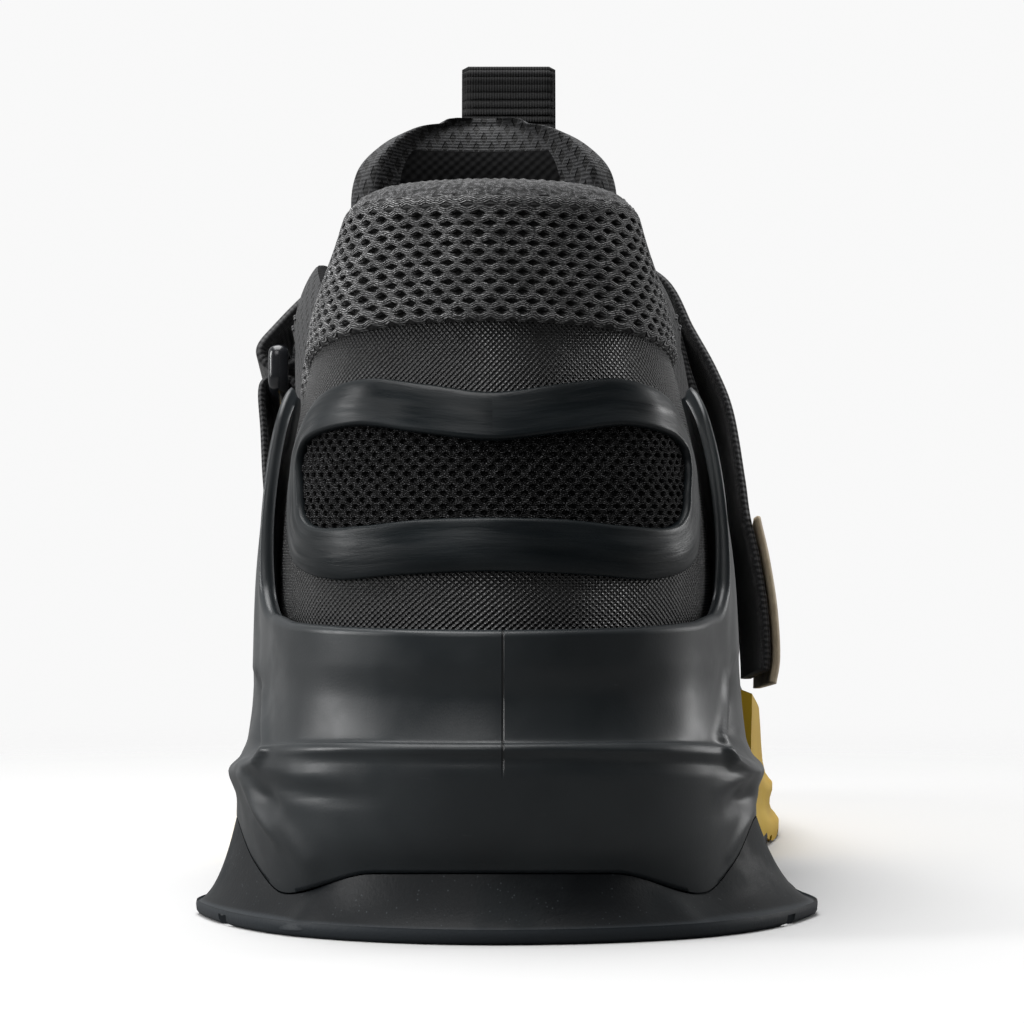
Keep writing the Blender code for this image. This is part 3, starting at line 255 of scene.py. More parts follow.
def gridMesh(name, points, closedAcross=True, closedAlong=False, uv=None, capEnds=False):
    # a mesh through a grid of points, shifted to the heel's seat; uv has one pair for each point and
    # one more across where the grid closes
    points = np.asarray(points, float)
    along, across = points.shape[:2]
    mesh = bpy.data.meshes.new(name)
    spots = points.reshape(-1, 3).copy()
    spots[:, 1] -= last["heelSeat"]
    i = np.arange(along if closedAlong else along - 1)
    j = np.arange(across if closedAcross else across - 1)
    ii, jj = np.meshgrid(i, j, indexing="ij")
    i2, j2 = (ii + 1) % along, (jj + 1) % across
    quads = np.stack((ii * across + jj, ii * across + j2, i2 * across + j2, i2 * across + jj), axis=-1)
    faces = quads.reshape(-1, 4).tolist()
    if capEnds:
        faces.append(tuple(range(across - 1, -1, -1)))
        faces.append(tuple(range((along - 1) * across, along * across)))
    mesh.from_pydata(spots.tolist(), [], faces)
    if uv is not None:
        uv = np.asarray(uv, float)
        layer = mesh.uv_layers.new(name="cloth")
        wide = uv.shape[1]
        near, far = ii * wide + jj, (ii + 1) * wide + jj
        corners = np.stack((near, near + 1, far + 1, far), axis=-1).reshape(-1)
        flat = uv.reshape(-1, 2)[np.minimum(corners, uv.shape[0] * wide - 1)]
        data = np.zeros((len(mesh.loops), 2), np.float32)
        data[:len(flat)] = flat
        layer.data.foreach_set("uv", data.reshape(-1))
    turnOutwards(mesh)
    return mesh


def turnOutwards(mesh):
    # by the sign of the closed mesh's volume
    spots = np.zeros(len(mesh.vertices) * 3)
    mesh.vertices.foreach_get("co", spots)
    spots = spots.reshape(-1, 3)
    mesh.calc_loop_triangles()
    corners = np.zeros(len(mesh.loop_triangles) * 3, np.int32)
    mesh.loop_triangles.foreach_get("vertices", corners)
    a, b, c = (spots[corners.reshape(-1, 3)[:, k]] - spots.mean(axis=0) for k in (0, 1, 2))
    if np.einsum("ij,ij->i", a, np.cross(b, c)).sum() < 0:
        mesh.flip_normals()


def arcLength(points, axis):
    # running length along one axis of a grid of points, from 0
    steps = np.linalg.norm(np.diff(points, axis=axis), axis=-1)
    start = np.zeros_like(np.take(steps, [0], axis=axis))
    return np.concatenate((start, np.cumsum(steps, axis=axis)), axis=axis)


def paint(mesh, kinds, caps=()):
    # the material of every face, then of the two end caps
    mesh.polygons.foreach_set("material_index", np.append(kinds.reshape(-1), caps).astype(np.int32))


# nets of the collar and the heel window: pitch across and up in metres, then the holes' half width and
# half height in pitches
collarNet = (0.00295, 0.00290, 0.36, 0.215)
windowNet = (0.00230, 0.00190, 0.26, 0.22)


def feed(tree, socket, value):
    if isinstance(value, bpy.types.NodeSocket):
        tree.links.new(value, socket)
    else:
        socket.default_value = value


def addNode(tree, kind, inputs=(), **settings):
    node = tree.nodes.new(kind)
    for key, value in settings.items():
        setattr(node, key, value)
    for key, value in dict(inputs).items():
        feed(tree, node.inputs[key], value)
    return node


def ramp(tree, value, low, high, outLow, outHigh, kind):
    inputs = {"Value": value, "From Min": low, "From Max": high, "To Min": outLow, "To Max": outHigh}
    return addNode(tree, "ShaderNodeMapRange", inputs, interpolation_type=kind).outputs["Result"]


# materials: colour, weave and grain from nodes, lengths in metres
class Web:
    # short ways to add nodes to one material
    def __init__(self, name, colour, roughness, **fixed):
        self.material = bpy.data.materials.new(name)
        self.material.use_nodes = True
        self.tree = self.material.node_tree
        self.shader = self.tree.nodes["Principled BSDF"]
        self.set("Base Color", (*colour, 1.0))
        self.set("Roughness", roughness)
        for key, value in fixed.items():
            self.set(key.replace("_", " "), value)
        self.normal = None

    def set(self, key, value):
        feed(self.tree, self.shader.inputs[key], value)

    def add(self, kind, inputs=(), **settings):
        return addNode(self.tree, kind, inputs, **settings)

    def place(self):
        return self.add("ShaderNodeTexCoord").outputs["Object"]

    def cloth(self):
        return self.add("ShaderNodeUVMap", uv_map="cloth").outputs["UV"]

    def split(self, vector):
        return self.add("ShaderNodeSeparateXYZ", {0: vector}).outputs[:3]

    def stretch(self, vector, size=(1, 1, 1), turn=(0, 0, 0)):
        return self.add("ShaderNodeMapping", {"Vector": vector, "Scale": size, "Rotation": turn}).outputs[0]

    def noise(self, vector, scale, detail=2.0, rough=0.5):
        inputs = {"Vector": vector, "Scale": scale, "Detail": detail, "Roughness": rough}
        return self.add("ShaderNodeTexNoise", inputs).outputs["Fac"]

    def streaks(self, vector, size, detail, rough=0.5, turn=(0, 0, 0)):
        # noise drawn out; size says how often it changes in a metre along each axis
        return self.noise(self.stretch(vector, size, turn), 1.0, detail, rough)

    def cells(self, vector, scale):
        return self.add("ShaderNodeTexVoronoi", {"Vector": vector, "Scale": scale}).outputs["Distance"]

    def math(self, operation, a, b=0.0):
        return self.add("ShaderNodeMath", {0: a, 1: b}, operation=operation).outputs[0]

    def times(self, a, b):
        return self.math("MULTIPLY", a, b)

    def plus(self, a, b):
        return self.math("ADD", a, b)

    def minus(self, a, b):
        return self.math("SUBTRACT", a, b)

    def between(self, value, low, high, outLow=0.0, outHigh=1.0):
        return ramp(self.tree, value, low, high, outLow, outHigh, "SMOOTHSTEP")

    def mix(self, share, first, second):
        first, second = (value if isinstance(value, bpy.types.NodeSocket) else (*value, 1.0)
                         for value in (first, second))
        return self.add("ShaderNodeMix", {0: share, 6: first, 7: second}, data_type="RGBA").outputs[2]

    def colour(self, share, first, second):
        self.set("Base Color", self.mix(share, first, second))

    def bump(self, height, distance, strength=1.0):
        inputs = {"Height": height, "Distance": distance, "Strength": strength}
        if self.normal is not None:
            inputs["Normal"] = self.normal
        self.normal = self.add("ShaderNodeBump", inputs).outputs["Normal"]
        self.set("Normal", self.normal)

    def beat(self, value, pitch):
        # a cosine along one coordinate, one wave for each pitch
        return self.math("COSINE", self.times(value, 2 * math.pi / pitch))

    def dots(self, vector, pitchX, pitchY):
        # staggered lumps: 1 on a lump, 0 in a pit
        x, y, _ = self.split(vector)
        return self.half(self.times(self.beat(x, pitchX), self.beat(y, pitchY)))

    def diamonds(self, x, y, size):
        # 1 inside the holes of a staggered diamond net; size is as in the nets above
        wide, high, halfWide, halfHigh = size
        rows = []
        for shift in (0.0, 0.5):
            a = self.math("PINGPONG", self.plus(self.math("DIVIDE", x, wide), 8 + shift), 0.5)
            b = self.math("PINGPONG", self.plus(self.math("DIVIDE", y, high), 8 + shift), 0.5)
            rows.append(self.plus(self.math("DIVIDE", a, halfWide), self.math("DIVIDE", b, halfHigh)))
        return self.between(self.math("MINIMUM", *rows), 0.72, 1.05, 1.0, 0.0)

    def knit(self, x, y, size, threads):
        # fine threads that bend round the holes of the same net
        wide, high = size[:2]
        turn = self.times(self.beat(x, wide), self.math("SINE", self.times(y, 2 * math.pi / high)))
        bent = self.minus(y, self.times(turn, 0.09 * high))
        return self.half(self.beat(bent, high / threads))

    def half(self, value):
        # from -1 ... 1 to 0 ... 1
        return self.add("ShaderNodeMath", {0: value, 1: 0.5, 2: 0.5}, operation="MULTIPLY_ADD").outputs[0]


def makeSlate():
    # satin moulded skin, faintly cloudy, with lighter horizontal streaks
    web = Web("slateMoulding", (0.016, 0.020, 0.023), 0.40, Specular_IOR_Level=0.5)
    where = web.place()
    cloudy = web.noise(where, 38.0, 3.0)
    tone = web.mix(web.between(cloudy, 0.35, 0.7), (0.0115, 0.0150, 0.0175), (0.0200, 0.0250, 0.0280))
    lighterStreaks = web.between(web.streaks(where, (160, 160, 620), 3.0, 0.7), 0.66, 0.78)
    tone = web.mix(web.times(lighterStreaks, 0.35), tone, (0.045, 0.052, 0.056))
    # the line left where the mould halves met, up the middle of the heel
    x, y, z = web.split(where)
    near = web.between(web.math("ABSOLUTE", web.minus(x, 0.0014)), 0.00006, 0.00022, 1.0, 0.0)
    high = web.times(web.between(z, 0.0235, 0.0265), web.between(y, -0.012, -0.008, 1.0, 0.0))
    line = web.times(near, high)
    web.colour(web.times(line, 0.75), tone, (0.0030, 0.0036, 0.0042))
    web.set("Roughness", web.between(web.noise(where, 130.0, 3.0), 0.3, 0.7, 0.34, 0.46))
    web.bump(web.noise(where, 2600.0, 2.0, 0.6), 0.00004, 0.30)
    web.bump(cloudy, 0.0012, 0.08)
    web.bump(web.times(line, -1.0), 0.0004, 0.8)
    return web.material


def makeBlackRubber():
    web = Web("blackRubber", (0.008, 0.010, 0.012), 0.55, Specular_IOR_Level=0.22)
    where = web.place()
    specks = web.between(web.cells(where, 1100.0), 0.0, 0.20, 1.0, 0.0)
    rare = web.between(web.noise(where, 260.0, 2.0), 0.44, 0.56)
    dust = web.between(web.noise(where, 46.0, 4.0, 0.6), 0.46, 0.70)
    height = web.split(where)[2]
    band = web.between(height, 0.0020, 0.0026, 1.0, 0.0)
    base = web.mix(dust, (0.0035, 0.0050, 0.0065), (0.0100, 0.0130, 0.0150))
    base = web.mix(web.times(specks, rare), base, (0.060, 0.070, 0.076))
    web.colour(web.times(band, 0.8), base, (0.034, 0.040, 0.046))
    web.set("Roughness", web.between(dust, 0.0, 1.0, 0.48, 0.66))
    web.bump(web.noise(where, 1900.0, 3.0, 0.6), 0.00008, 0.6)
    return web.material


def makeMustardRubber():
    web = Web("mustardRubber", (0.62, 0.38, 0.03), 0.50)
    where = web.place()
    tone = web.between(web.noise(where, 60.0, 3.0), 0.3, 0.75)
    web.colour(tone, (0.74, 0.45, 0.012), (0.84, 0.55, 0.030))
    web.bump(web.noise(where, 1500.0, 2.0), 0.00006, 0.5)
    return web.material


def makeHeelWeave():
    # fine glossy weave, its lumps in diagonal rows
    web = Web("heelWeave", (0.012, 0.012, 0.014), 0.30, Specular_IOR_Level=0.75)
    cloth = web.cloth()
    lumps = web.dots(cloth, 0.00092, 0.00086)
    fibres = web.streaks(cloth, (7000, 2600, 1), 1.0)
    broad = web.noise(cloth, 160.0, 2.0)
    # the lumps' crowns are painted lighter than the near-black rest: painted highlight, stronger in broad
    # patches
    light = web.times(web.between(lumps, 0.45, 1.0), web.between(fibres, 0.25, 0.65))
    bright = web.mix(web.between(broad, 0.3, 0.7), (0.018, 0.018, 0.020), (0.055, 0.056, 0.060))
    web.colour(light, (0.0016, 0.0016, 0.0019), bright)
    web.set("Roughness", web.between(lumps, 0.2, 0.8, 0.62, 0.24))
    web.bump(web.plus(lumps, web.times(fibres, 0.3)), 0.00040, 1.0)
    return web.material


def makeSideMesh():
    # dark grey knit with rows of small pits
    web = Web("sideMesh", (0.030, 0.031, 0.033), 0.80, Sheen_Weight=0.12, Sheen_Roughness=0.5)
    cloth = web.cloth()
    x, y, _ = web.split(cloth)
    net = (0.0024, 0.0030, 0.26, 0.30)
    pits = web.diamonds(x, y, net)
    wale = web.half(web.beat(x, 0.00048))
    fibres = web.streaks(cloth, (3600, 1700, 1), 2.0)
    light = web.times(wale, web.between(fibres, 0.25, 0.7))
    base = web.mix(light, (0.012, 0.0125, 0.0135), (0.058, 0.059, 0.063))
    web.colour(pits, base, (0.0040, 0.0040, 0.0045))
    web.bump(web.minus(web.times(wale, 0.3), pits), 0.00035, 0.8)
    return web.material


def makeCollarKnit():
    # coarse diamond mesh: threads bend round the holes, which are sunk in the piece as well
    web = Web("collarKnit", (0.06, 0.06, 0.062), 0.66, Sheen_Weight=0.12, Sheen_Roughness=0.45)
    cloth = web.cloth()
    x, y, _ = web.split(cloth)
    hole = web.diamonds(x, y, collarNet)
    threads = web.knit(x, y, collarNet, 9)
    fibres = web.streaks(cloth, (2300, 5200, 1), 2.0, 0.6)
    sheenPatches = web.noise(cloth, 240.0, 2.0)
    # thread crowns painted pale where the fibres catch the light: painted sheen, in patches of differing
    # strength
    shine = web.times(web.between(threads, 0.25, 0.95), web.between(fibres, 0.36, 0.62))
    light = web.mix(web.between(sheenPatches, 0.35, 0.65), (0.36, 0.36, 0.365), (0.70, 0.70, 0.705))
    strand = web.mix(shine, (0.004, 0.004, 0.0045), light)
    fluff = web.between(web.noise(cloth, 3800.0, 1.0), 0.55, 0.75)
    under = web.mix(fluff, (0.0022, 0.0022, 0.0025), (0.030, 0.030, 0.031))
    web.colour(hole, strand, under)
    web.bump(web.minus(web.plus(threads, web.times(fibres, 0.8)), web.times(hole, 2.0)), 0.00022, 0.9)
    return web.material


def makeRimKnit():
    # looped edge yarn, uneven, with painted highlights on its crowns
    web = Web("rimKnit", (0.08, 0.08, 0.082), 0.78, Sheen_Weight=0.15, Sheen_Roughness=0.5)
    cloth = web.cloth()
    loops = web.streaks(cloth, (1250, 1600, 1), 1.0, 0.5)
    fibres = web.noise(cloth, 5200.0, 2.0, 0.65)
    tone = web.times(web.between(loops, 0.40, 0.62), web.between(fibres, 0.40, 0.62))
    web.colour(tone, (0.003, 0.003, 0.0035), (0.17, 0.17, 0.175))
    web.bump(web.plus(loops, web.times(fibres, 0.7)), 0.00030, 0.9)
    return web.material


def makeWindowKnit():
    # black mesh with fine glints on its twisted threads
    web = Web("windowKnit", (0.010, 0.010, 0.011), 0.60, Specular_IOR_Level=0.12)
    cloth = web.cloth()
    x, y, _ = web.split(cloth)
    hole = web.diamonds(x, y, windowNet)
    threads = web.knit(x, y, windowNet, 6)
    fibres = web.streaks(cloth, (4300, 5200, 1), 1.0, turn=(0, 0, 0.6))
    glint = web.times(web.between(threads, 0.35, 0.9), web.between(fibres, 0.50, 0.66))
    strand = web.mix(glint, (0.0012, 0.0012, 0.0014), (0.15, 0.15, 0.155))
    web.colour(web.times(hole, 0.85), strand, (0.0015, 0.0015, 0.0016))
    web.bump(web.minus(web.plus(threads, fibres), web.times(hole, 1.5)), 0.00020, 0.9)
    return web.material


def makeFilm():
    # gloss film over cloth: smooth, faintly rippled and smeared
    web = Web("glossFilm", (0.012, 0.016, 0.018), 0.34, Specular_IOR_Level=0.22, Coat_Weight=0.04,
              Coat_Roughness=0.20)
    cloth = web.cloth()
    smear = web.streaks(cloth, (70, 520, 1), 4.0, 0.6)
    broad = web.streaks(cloth, (38, 120, 1), 2.0)
    web.colour(web.between(broad, 0.35, 0.7), (0.0045, 0.0070, 0.0085), (0.0160, 0.0200, 0.0225))
    web.set("Roughness", web.between(smear, 0.3, 0.7, 0.26, 0.54))
    web.bump(broad, 0.0010, 0.30)
    web.bump(smear, 0.00035, 0.35)
    return web.material


def makeTongueMesh():
    # spacer mesh with upright slits
    web = Web("tongueMesh", (0.03, 0.031, 0.033), 0.80, Sheen_Weight=0.10, Sheen_Roughness=0.5)
    cloth = web.cloth()
    x, y, _ = web.split(cloth)
    pits = web.diamonds(x, y, (0.0026, 0.0036, 0.24, 0.40))
    threads = web.half(web.beat(y, 0.00055))
    fibres = web.streaks(cloth, (2500, 3600, 1), 2.0)
    light = web.times(web.between(threads, -0.8, 1.0), web.between(fibres, 0.3, 0.7))
    base = web.mix(light, (0.010, 0.010, 0.011), (0.052, 0.053, 0.056))
    web.colour(pits, base, (0.0018, 0.0018, 0.002))
    height = web.minus(web.times(threads, 0.25), web.times(pits, 1.6))
    web.bump(height, 0.0004, 0.9)
    return web.material


def makeLiningAndShade():
    # dark lining cloth inside the upper and the collar; on the tongue's inner face it is painted shade
    web = Web("darkLiningAndShade", (0.006, 0.006, 0.007), 0.9, Specular_IOR_Level=0.2)
    cloth = web.cloth()
    lumps = web.dots(cloth, 0.0018, 0.0016)
    web.colour(lumps, (0.0012, 0.0012, 0.0014), (0.0060, 0.0060, 0.0065))
    web.bump(lumps, 0.00025, 0.8)
    return web.material


def makeRibbon():
    web = Web("ribbedRibbon", (0.006, 0.006, 0.007), 0.70, Specular_IOR_Level=0.3)
    cloth = web.cloth()
    x, y, _ = web.split(cloth)
    ribs = web.half(web.beat(y, 0.00135))
    yarn = web.half(web.beat(x, 0.00045))
    web.colour(web.times(ribs, yarn), (0.0008, 0.0008, 0.0010), (0.0085, 0.0085, 0.0090))
    web.bump(web.plus(ribs, web.times(yarn, 0.25)), 0.00035, 0.9)
    return web.material


def makeWebbing():
    web = Web("blackWebbing", (0.014, 0.014, 0.015), 0.70, Sheen_Weight=0.2)
    cloth = web.cloth()
    lumps = web.dots(web.stretch(cloth, turn=(0, 0, math.radians(45))), 0.0012, 0.0012)
    fuzz = web.noise(cloth, 1500.0, 3.0, 0.7)
    web.colour(lumps, (0.006, 0.006, 0.007), (0.026, 0.026, 0.028))
    web.bump(web.plus(lumps, web.times(fuzz, 0.5)), 0.0003, 0.9)
    return web.material


def makeLoopTape():
    # the strap's napped inner face
    web = Web("nappedTape", (0.008, 0.008, 0.009), 0.95, Sheen_Weight=0.35, Sheen_Roughness=0.4)
    cloth = web.cloth()
    nap = web.noise(cloth, 2300.0, 4.0, 0.75)
    clumps = web.noise(cloth, 420.0, 2.0)
    web.colour(web.between(nap, 0.35, 0.75), (0.002, 0.002, 0.002), (0.032, 0.032, 0.034))
    web.bump(web.plus(nap, clumps), 0.0007, 1.0)
    return web.material


def makeTan():
    web = Web("tanTab", (0.46, 0.34, 0.21), 0.58)
    cloth = web.cloth()
    tone = web.noise(cloth, 160.0, 4.0, 0.65)
    web.colour(web.between(tone, 0.3, 0.72), (0.46, 0.36, 0.24), (0.74, 0.62, 0.44))
    web.bump(web.noise(cloth, 900.0, 3.0), 0.00015, 0.6)
    return web.material


def makeGloss():
    web = Web("glossMoulding", (0.012, 0.013, 0.016), 0.18, Coat_Weight=0.4, Coat_Roughness=0.1)
    web.set("Roughness", web.between(web.noise(web.place(), 300.0, 3.0), 0.3, 0.7, 0.15, 0.27))
    web.bump(web.noise(web.place(), 900.0, 2.0), 0.00004, 0.5)
    return web.material


def makeLaceCloth():
    web = Web("laceCloth", (0.016, 0.016, 0.017), 0.75, Sheen_Weight=0.25)
    cloth = web.cloth()
    x, y, _ = web.split(cloth)
    plait = web.times(web.beat(web.plus(x, y), 0.0011), web.beat(web.minus(x, y), 0.0011))
    lumps = web.half(plait)
    web.colour(lumps, (0.007, 0.007, 0.008), (0.034, 0.034, 0.036))
    web.bump(lumps, 0.0003, 0.9)
    return web.material


def makeInsoleCloth():
    web = Web("insoleCloth", (0.028, 0.028, 0.030), 0.92, Sheen_Weight=0.35)
    where = web.place()
    fibres = web.noise(where, 1600.0, 4.0, 0.7)
    web.colour(web.between(fibres, 0.3, 0.7), (0.018, 0.018, 0.020), (0.042, 0.042, 0.045))
    web.bump(fibres, 0.0002, 0.7)
    return web.material


cloths = {
    "slate": makeSlate(), "rubber": makeBlackRubber(), "mustard": makeMustardRubber(),
    "weave": makeHeelWeave(), "side": makeSideMesh(), "collar": makeCollarKnit(), "rim": makeRimKnit(),
    "window": makeWindowKnit(),
    "film": makeFilm(), "tongue": makeTongueMesh(), "liningAndShade": makeLiningAndShade(), "ribbon": makeRibbon(),
    "webbing": makeWebbing(), "nap": makeLoopTape(), "tan": makeTan(), "gloss": makeGloss(),
    "lace": makeLaceCloth(), "insole": makeInsoleCloth(),
}
print("materials ready:", len(cloths))


# upper: one hollow wall with an open collar and throat
upperUser = {"columnsPerRow": 10, "outerRings": 46, "innerRings": 22, "vampCreaseDepth": 0.0011,
             "weaveRows": 3.6, "collarDrop": 0.045, "rimSteps": 5, "rimSwell": 0.8,
             "eyeletBore": 0.0042, "eyeletDepth": 0.0132, "eyeletShare": 0.925}
# row across the vamp, half width in rows, depth share: soft troughs where the forefoot bends
vampCreases = ((7.7, 0.16, 0.7), (8.45, 0.20, 1.0), (9.15, 0.16, 0.8))
# row, share up the wall, reach in rows, reach up, depth in metres: dents and swells of the cloth
upperDents = (
    (4.9, 0.55, 0.55, 0.16, -0.0012), (21.2, 0.52, 0.50, 0.18, -0.0011), (6.4, 0.72, 0.5, 0.10, 0.0007),
    (19.6, 0.70, 0.5, 0.10, 0.0007), (5.7, 0.30, 0.4, 0.12, 0.0006), (20.4, 0.30, 0.4, 0.12, 0.0006))


def wallThickness(u, v):
    return last["upperWall"] + last["collarPad"] * collarShare(u) * ease((v - 0.60) / 0.26)


def upperRelief(u, v):
    row = rowOf(u)
    relief = last["overlay"] * eyestayShare(u) * ease((v - 0.74) / 0.04)
    for place, reach, share in vampCreases:
        bend = np.exp(-((row - place - 0.35 * (v - 0.7)) / reach) ** 2)
        relief = relief - share * upperUser["vampCreaseDepth"] * bend * ease((v - 0.35) / 0.3) * (v < 0.74)
    for place, share, wide, high, depth in upperDents:
        relief = relief + depth * np.exp(-((u - place) / wide) ** 2 - ((v - share) / high) ** 2)
    return relief


def meshOf(shape, name):
    mesh = bpy.data.meshes.new(name)
    shape.to_mesh(mesh)
    shape.free()
    return mesh


def cutWith(piece, cutters):
    # every cutter is one closed shape and none touches another
    joined = bmesh.new()
    for cutter in cutters:
        joined.from_mesh(cutter)
        bpy.data.meshes.remove(cutter)
    tool = bpy.data.objects.new("cutter", meshOf(joined, "cutter"))
    scene.collection.objects.link(tool)
    cut = piece.modifiers.new("cut", "BOOLEAN")
    cut.operation, cut.object, cut.solver = "DIFFERENCE", tool, "EXACT"
    graph = bpy.context.evaluated_depsgraph_get()
    result = bpy.data.meshes.new_from_object(piece.evaluated_get(graph))
    piece.modifiers.clear()
    piece.data = result
    bpy.data.objects.remove(tool, do_unlink=True)


def boxMesh(centre, size):
    box = bmesh.new()
    bmesh.ops.create_cube(box, size=1.0)
    bmesh.ops.scale(box, vec=Vector(size), verts=box.verts)
    bmesh.ops.translate(box, vec=Vector(centre), verts=box.verts)
    return meshOf(box, "box")


def boreMesh(centre, way):
    bore = bmesh.new()
    radius, depth = 0.5 * upperUser["eyeletBore"], upperUser["eyeletDepth"]
    bmesh.ops.create_cone(bore, cap_ends=True, segments=24, radius1=radius, radius2=radius, depth=depth)
    turn = Vector((0, 0, 1)).rotation_difference(Vector(way)).to_matrix()
    bmesh.ops.rotate(bore, matrix=turn, verts=bore.verts)
    bmesh.ops.translate(bore, vec=Vector(centre), verts=bore.verts)
    return meshOf(bore, "bore")


eyeletRows = np.linspace(6.1, 10.6, 6)


def eyeletPlace(row, side):
    u = row if side < 0 else loopRows - row
    share = upperUser["eyeletShare"]
    normal = skinNormal(u, share)
    return skin(u, share) + last["overlay"] * normal, normal


def rimArc(outside, inside, rise, steps, swell):
    # points over the top of a wall, from its outer face to its inner face
    middle, half = 0.5 * (outside + inside), 0.5 * (outside - inside)
    wide = np.linalg.norm(half, axis=-1, keepdims=True)
    turns = np.linspace(0, math.pi, steps + 2)[1:-1]
    return [middle + math.cos(turn) * half + swell * math.sin(turn) * wide * rise for turn in turns]


def makeUpper():
    user = upperUser
    columns = loopRows * user["columnsPerRow"]
    u = np.linspace(0, loopRows, columns, endpoint=False)
    top = 1.0 - user["collarDrop"] * collarShare(u)
    rings = []
    for share in np.linspace(0, 1, user["outerRings"]):
        v = share * top
        rings.append(skin(u, v) + upperRelief(u, v)[:, None] * skinNormal(u, v))
    outside = rings[-1]
    inside = skin(u, top) - wallThickness(u, top)[:, None] * skinNormal(u, top)
    rise = unit(skin(u, top) - skin(u, top - 0.03))
    rings += rimArc(outside, inside, rise, user["rimSteps"], user["rimSwell"])
    for share in np.linspace(1, 0, user["innerRings"]):
        v = share * top
        ring = skin(u, v) - wallThickness(u, v)[:, None] * skinNormal(u, v)
        if share == 0:
            ring[:, 2] = skin(u, 0.0)[:, 2]
        rings.append(ring)
    points = np.array(rings)
    # the cloth's first coordinate runs round the wall, as long as it is half way up
    middle = rings[user["outerRings"] // 2 + 1]
    run = arcLength(np.concatenate((middle, middle[:1])), 0)
    climb = arcLength(points, 0)
    climb = np.concatenate((climb, climb[:, :1]), axis=1)
    uv = np.stack((np.broadcast_to(run, climb.shape), climb), axis=-1)
    mesh = gridMesh("upper_shell", points, closedAlong=True, uv=uv)
    # weave round the heel, knit along the sides, lining inside
    kinds = np.full((len(rings), columns), 2)
    kinds[:user["outerRings"]] = rowOf(u + 0.5 / user["columnsPerRow"]) >= user["weaveRows"]
    paint(mesh, kinds)
    piece = finish("upper_shell", mesh, [cloths["weave"], cloths["side"], cloths["liningAndShade"]],
                   replaces=["upper"])
    bores = []
    for row in eyeletRows:
        for side in (-1, 1):
            place, normal = eyeletPlace(row, side)
            bores.append(boreMesh(place - (0, last["heelSeat"], 0), normal))
    cutWith(piece, bores)
    return piece


makeUpper()

# collar panel: thick diamond mesh round the heel, with a knitted band on its rim
collarUser = {"reach": 4.35, "proud": 0.00125, "puff": 0.0007, "holeDepth": 0.0009, "band": 0.0003,
              "spacing": 0.00025, "tall": 0.0235, "rimSteps": 14, "rimSwell": 0.72, "rimLump": 0.00016,
              "rimCrease": 2, "creaseDepth": 2.4, "cover": 0.0006}
collarSeam = smoothCurve(np.array((0.0, 1.0, 2.0, 3.0, 4.0, 5.0)),
                         np.array((0.0900, 0.0896, 0.0880, 0.0852, 0.0812, 0.0790)))


def diamondHoles(x, y, net):
    # 1 inside a hole of the staggered diamond net, 0 on its threads
    wide, high, halfWide, halfHigh = net
    ways = []
    for shift in (0.0, 0.5):
        a, b = x / wide + shift, y / high + shift
        ways.append(np.abs(a - np.round(a)) / halfWide + np.abs(b - np.round(b)) / halfHigh)
    return ease((1.15 - np.minimum(*ways)) / 0.5)


def makeCollarPanel():
    user = collarUser
    guide = np.linspace(-user["reach"], user["reach"], 400)
    run = arcLength(skin(guide, 0.9), 0)
    count = int(run[-1] / user["spacing"])
    u = np.interp(np.linspace(0, run[-1], count), run, guide)
    across = np.interp(u, guide, run) - 0.5 * run[-1]
    low = shareAtHeight(u, collarSeam(rowOf(u)))
    steps = int(user["tall"] / user["spacing"])
    shares = np.linspace(0, 1, steps)
    front = np.array([skin(u, low + share * (1 - low)) for share in shares])
    climb = arcLength(front, 0)
    height = climb[-1]
    hole = diamondHoles(across, climb, collarNet)
    bandPlace = height - user["band"]
    hole *= ease((climb - 0.0006) / 0.0004) * (1 - ease((climb - bandPlace + 0.0005) / 0.0004))
    ends = ease((user["reach"] - np.abs(u)) / 0.10)
    swell = user["proud"] + user["puff"] * np.sin(math.pi * np.clip(climb / height, 0, 1))
    swell = swell * ease(climb / 0.0009 + 0.35) * (0.4 + 0.6 * ends)
    swell -= user["holeDepth"] * hole
    normals = np.array([skinNormal(u, low + share * (1 - low)) for share in shares])
    rings = [skin(u, low) - 0.0004 * normals[0]]
    rings += list(front + swell[..., None] * normals)
    outside = rings[-1]
    thick = wallThickness(u, 1.0)[:, None]
    inside = skin(u, 1.0) - (thick + user["cover"]) * normals[-1]
    rise = unit(skin(u, 1.0) - skin(u, 0.97))
    for k, arc in enumerate(rimArc(outside, inside, rise, user["rimSteps"], user["rimSwell"])):
        lump = np.sin(across / 0.00041 + 2.1 * k) * np.sin(across / 0.00067 - 1.3 * k)
        lump -= user["creaseDepth"] * (k == user["rimCrease"])
        rings.append(arc + (user["rimLump"] * lump)[:, None] * rise)
    for share in (1.0, 0.975, 0.95, 0.925, 0.90):
        deep = wallThickness(u, share)[:, None] + user["cover"]
        rings.append(skin(u, share) - deep * skinNormal(u, share))
    for share in (0.90, 0.93):
        rings.append(skin(u, share) - 0.5 * wallThickness(u, share)[:, None] * skinNormal(u, share))
    rings.append(skin(u, low) - 0.0010 * normals[0])
    points = np.array(rings).transpose(1, 0, 2)
    ringClimb = arcLength(points, 1)
    ringClimb += height[:, None] - ringClimb[:, steps:steps + 1]
    ringClimb[:, 0] = -0.0005
    ringClimb[:, 1:steps + 1] = climb.T
    wrap = np.concatenate((ringClimb, ringClimb[:, -1:]), axis=1)
    uv = np.stack((np.broadcast_to(across[:, None], wrap.shape), wrap), axis=-1)
    uv = np.concatenate((uv, uv[-1:]), axis=0)
    mesh = gridMesh("collar_panel", points, closedAcross=True, uv=uv, capEnds=True)
    kinds = np.zeros(points.shape[:2], np.int32)
    kinds[:, steps + 3:steps + 12] = 1
    kinds[:, steps + 12:] = 2
    paint(mesh, kinds[:-1], (2, 2))
    return finish("collar_panel", mesh, [cloths["collar"], cloths["rim"], cloths["liningAndShade"]])


makeCollarPanel()

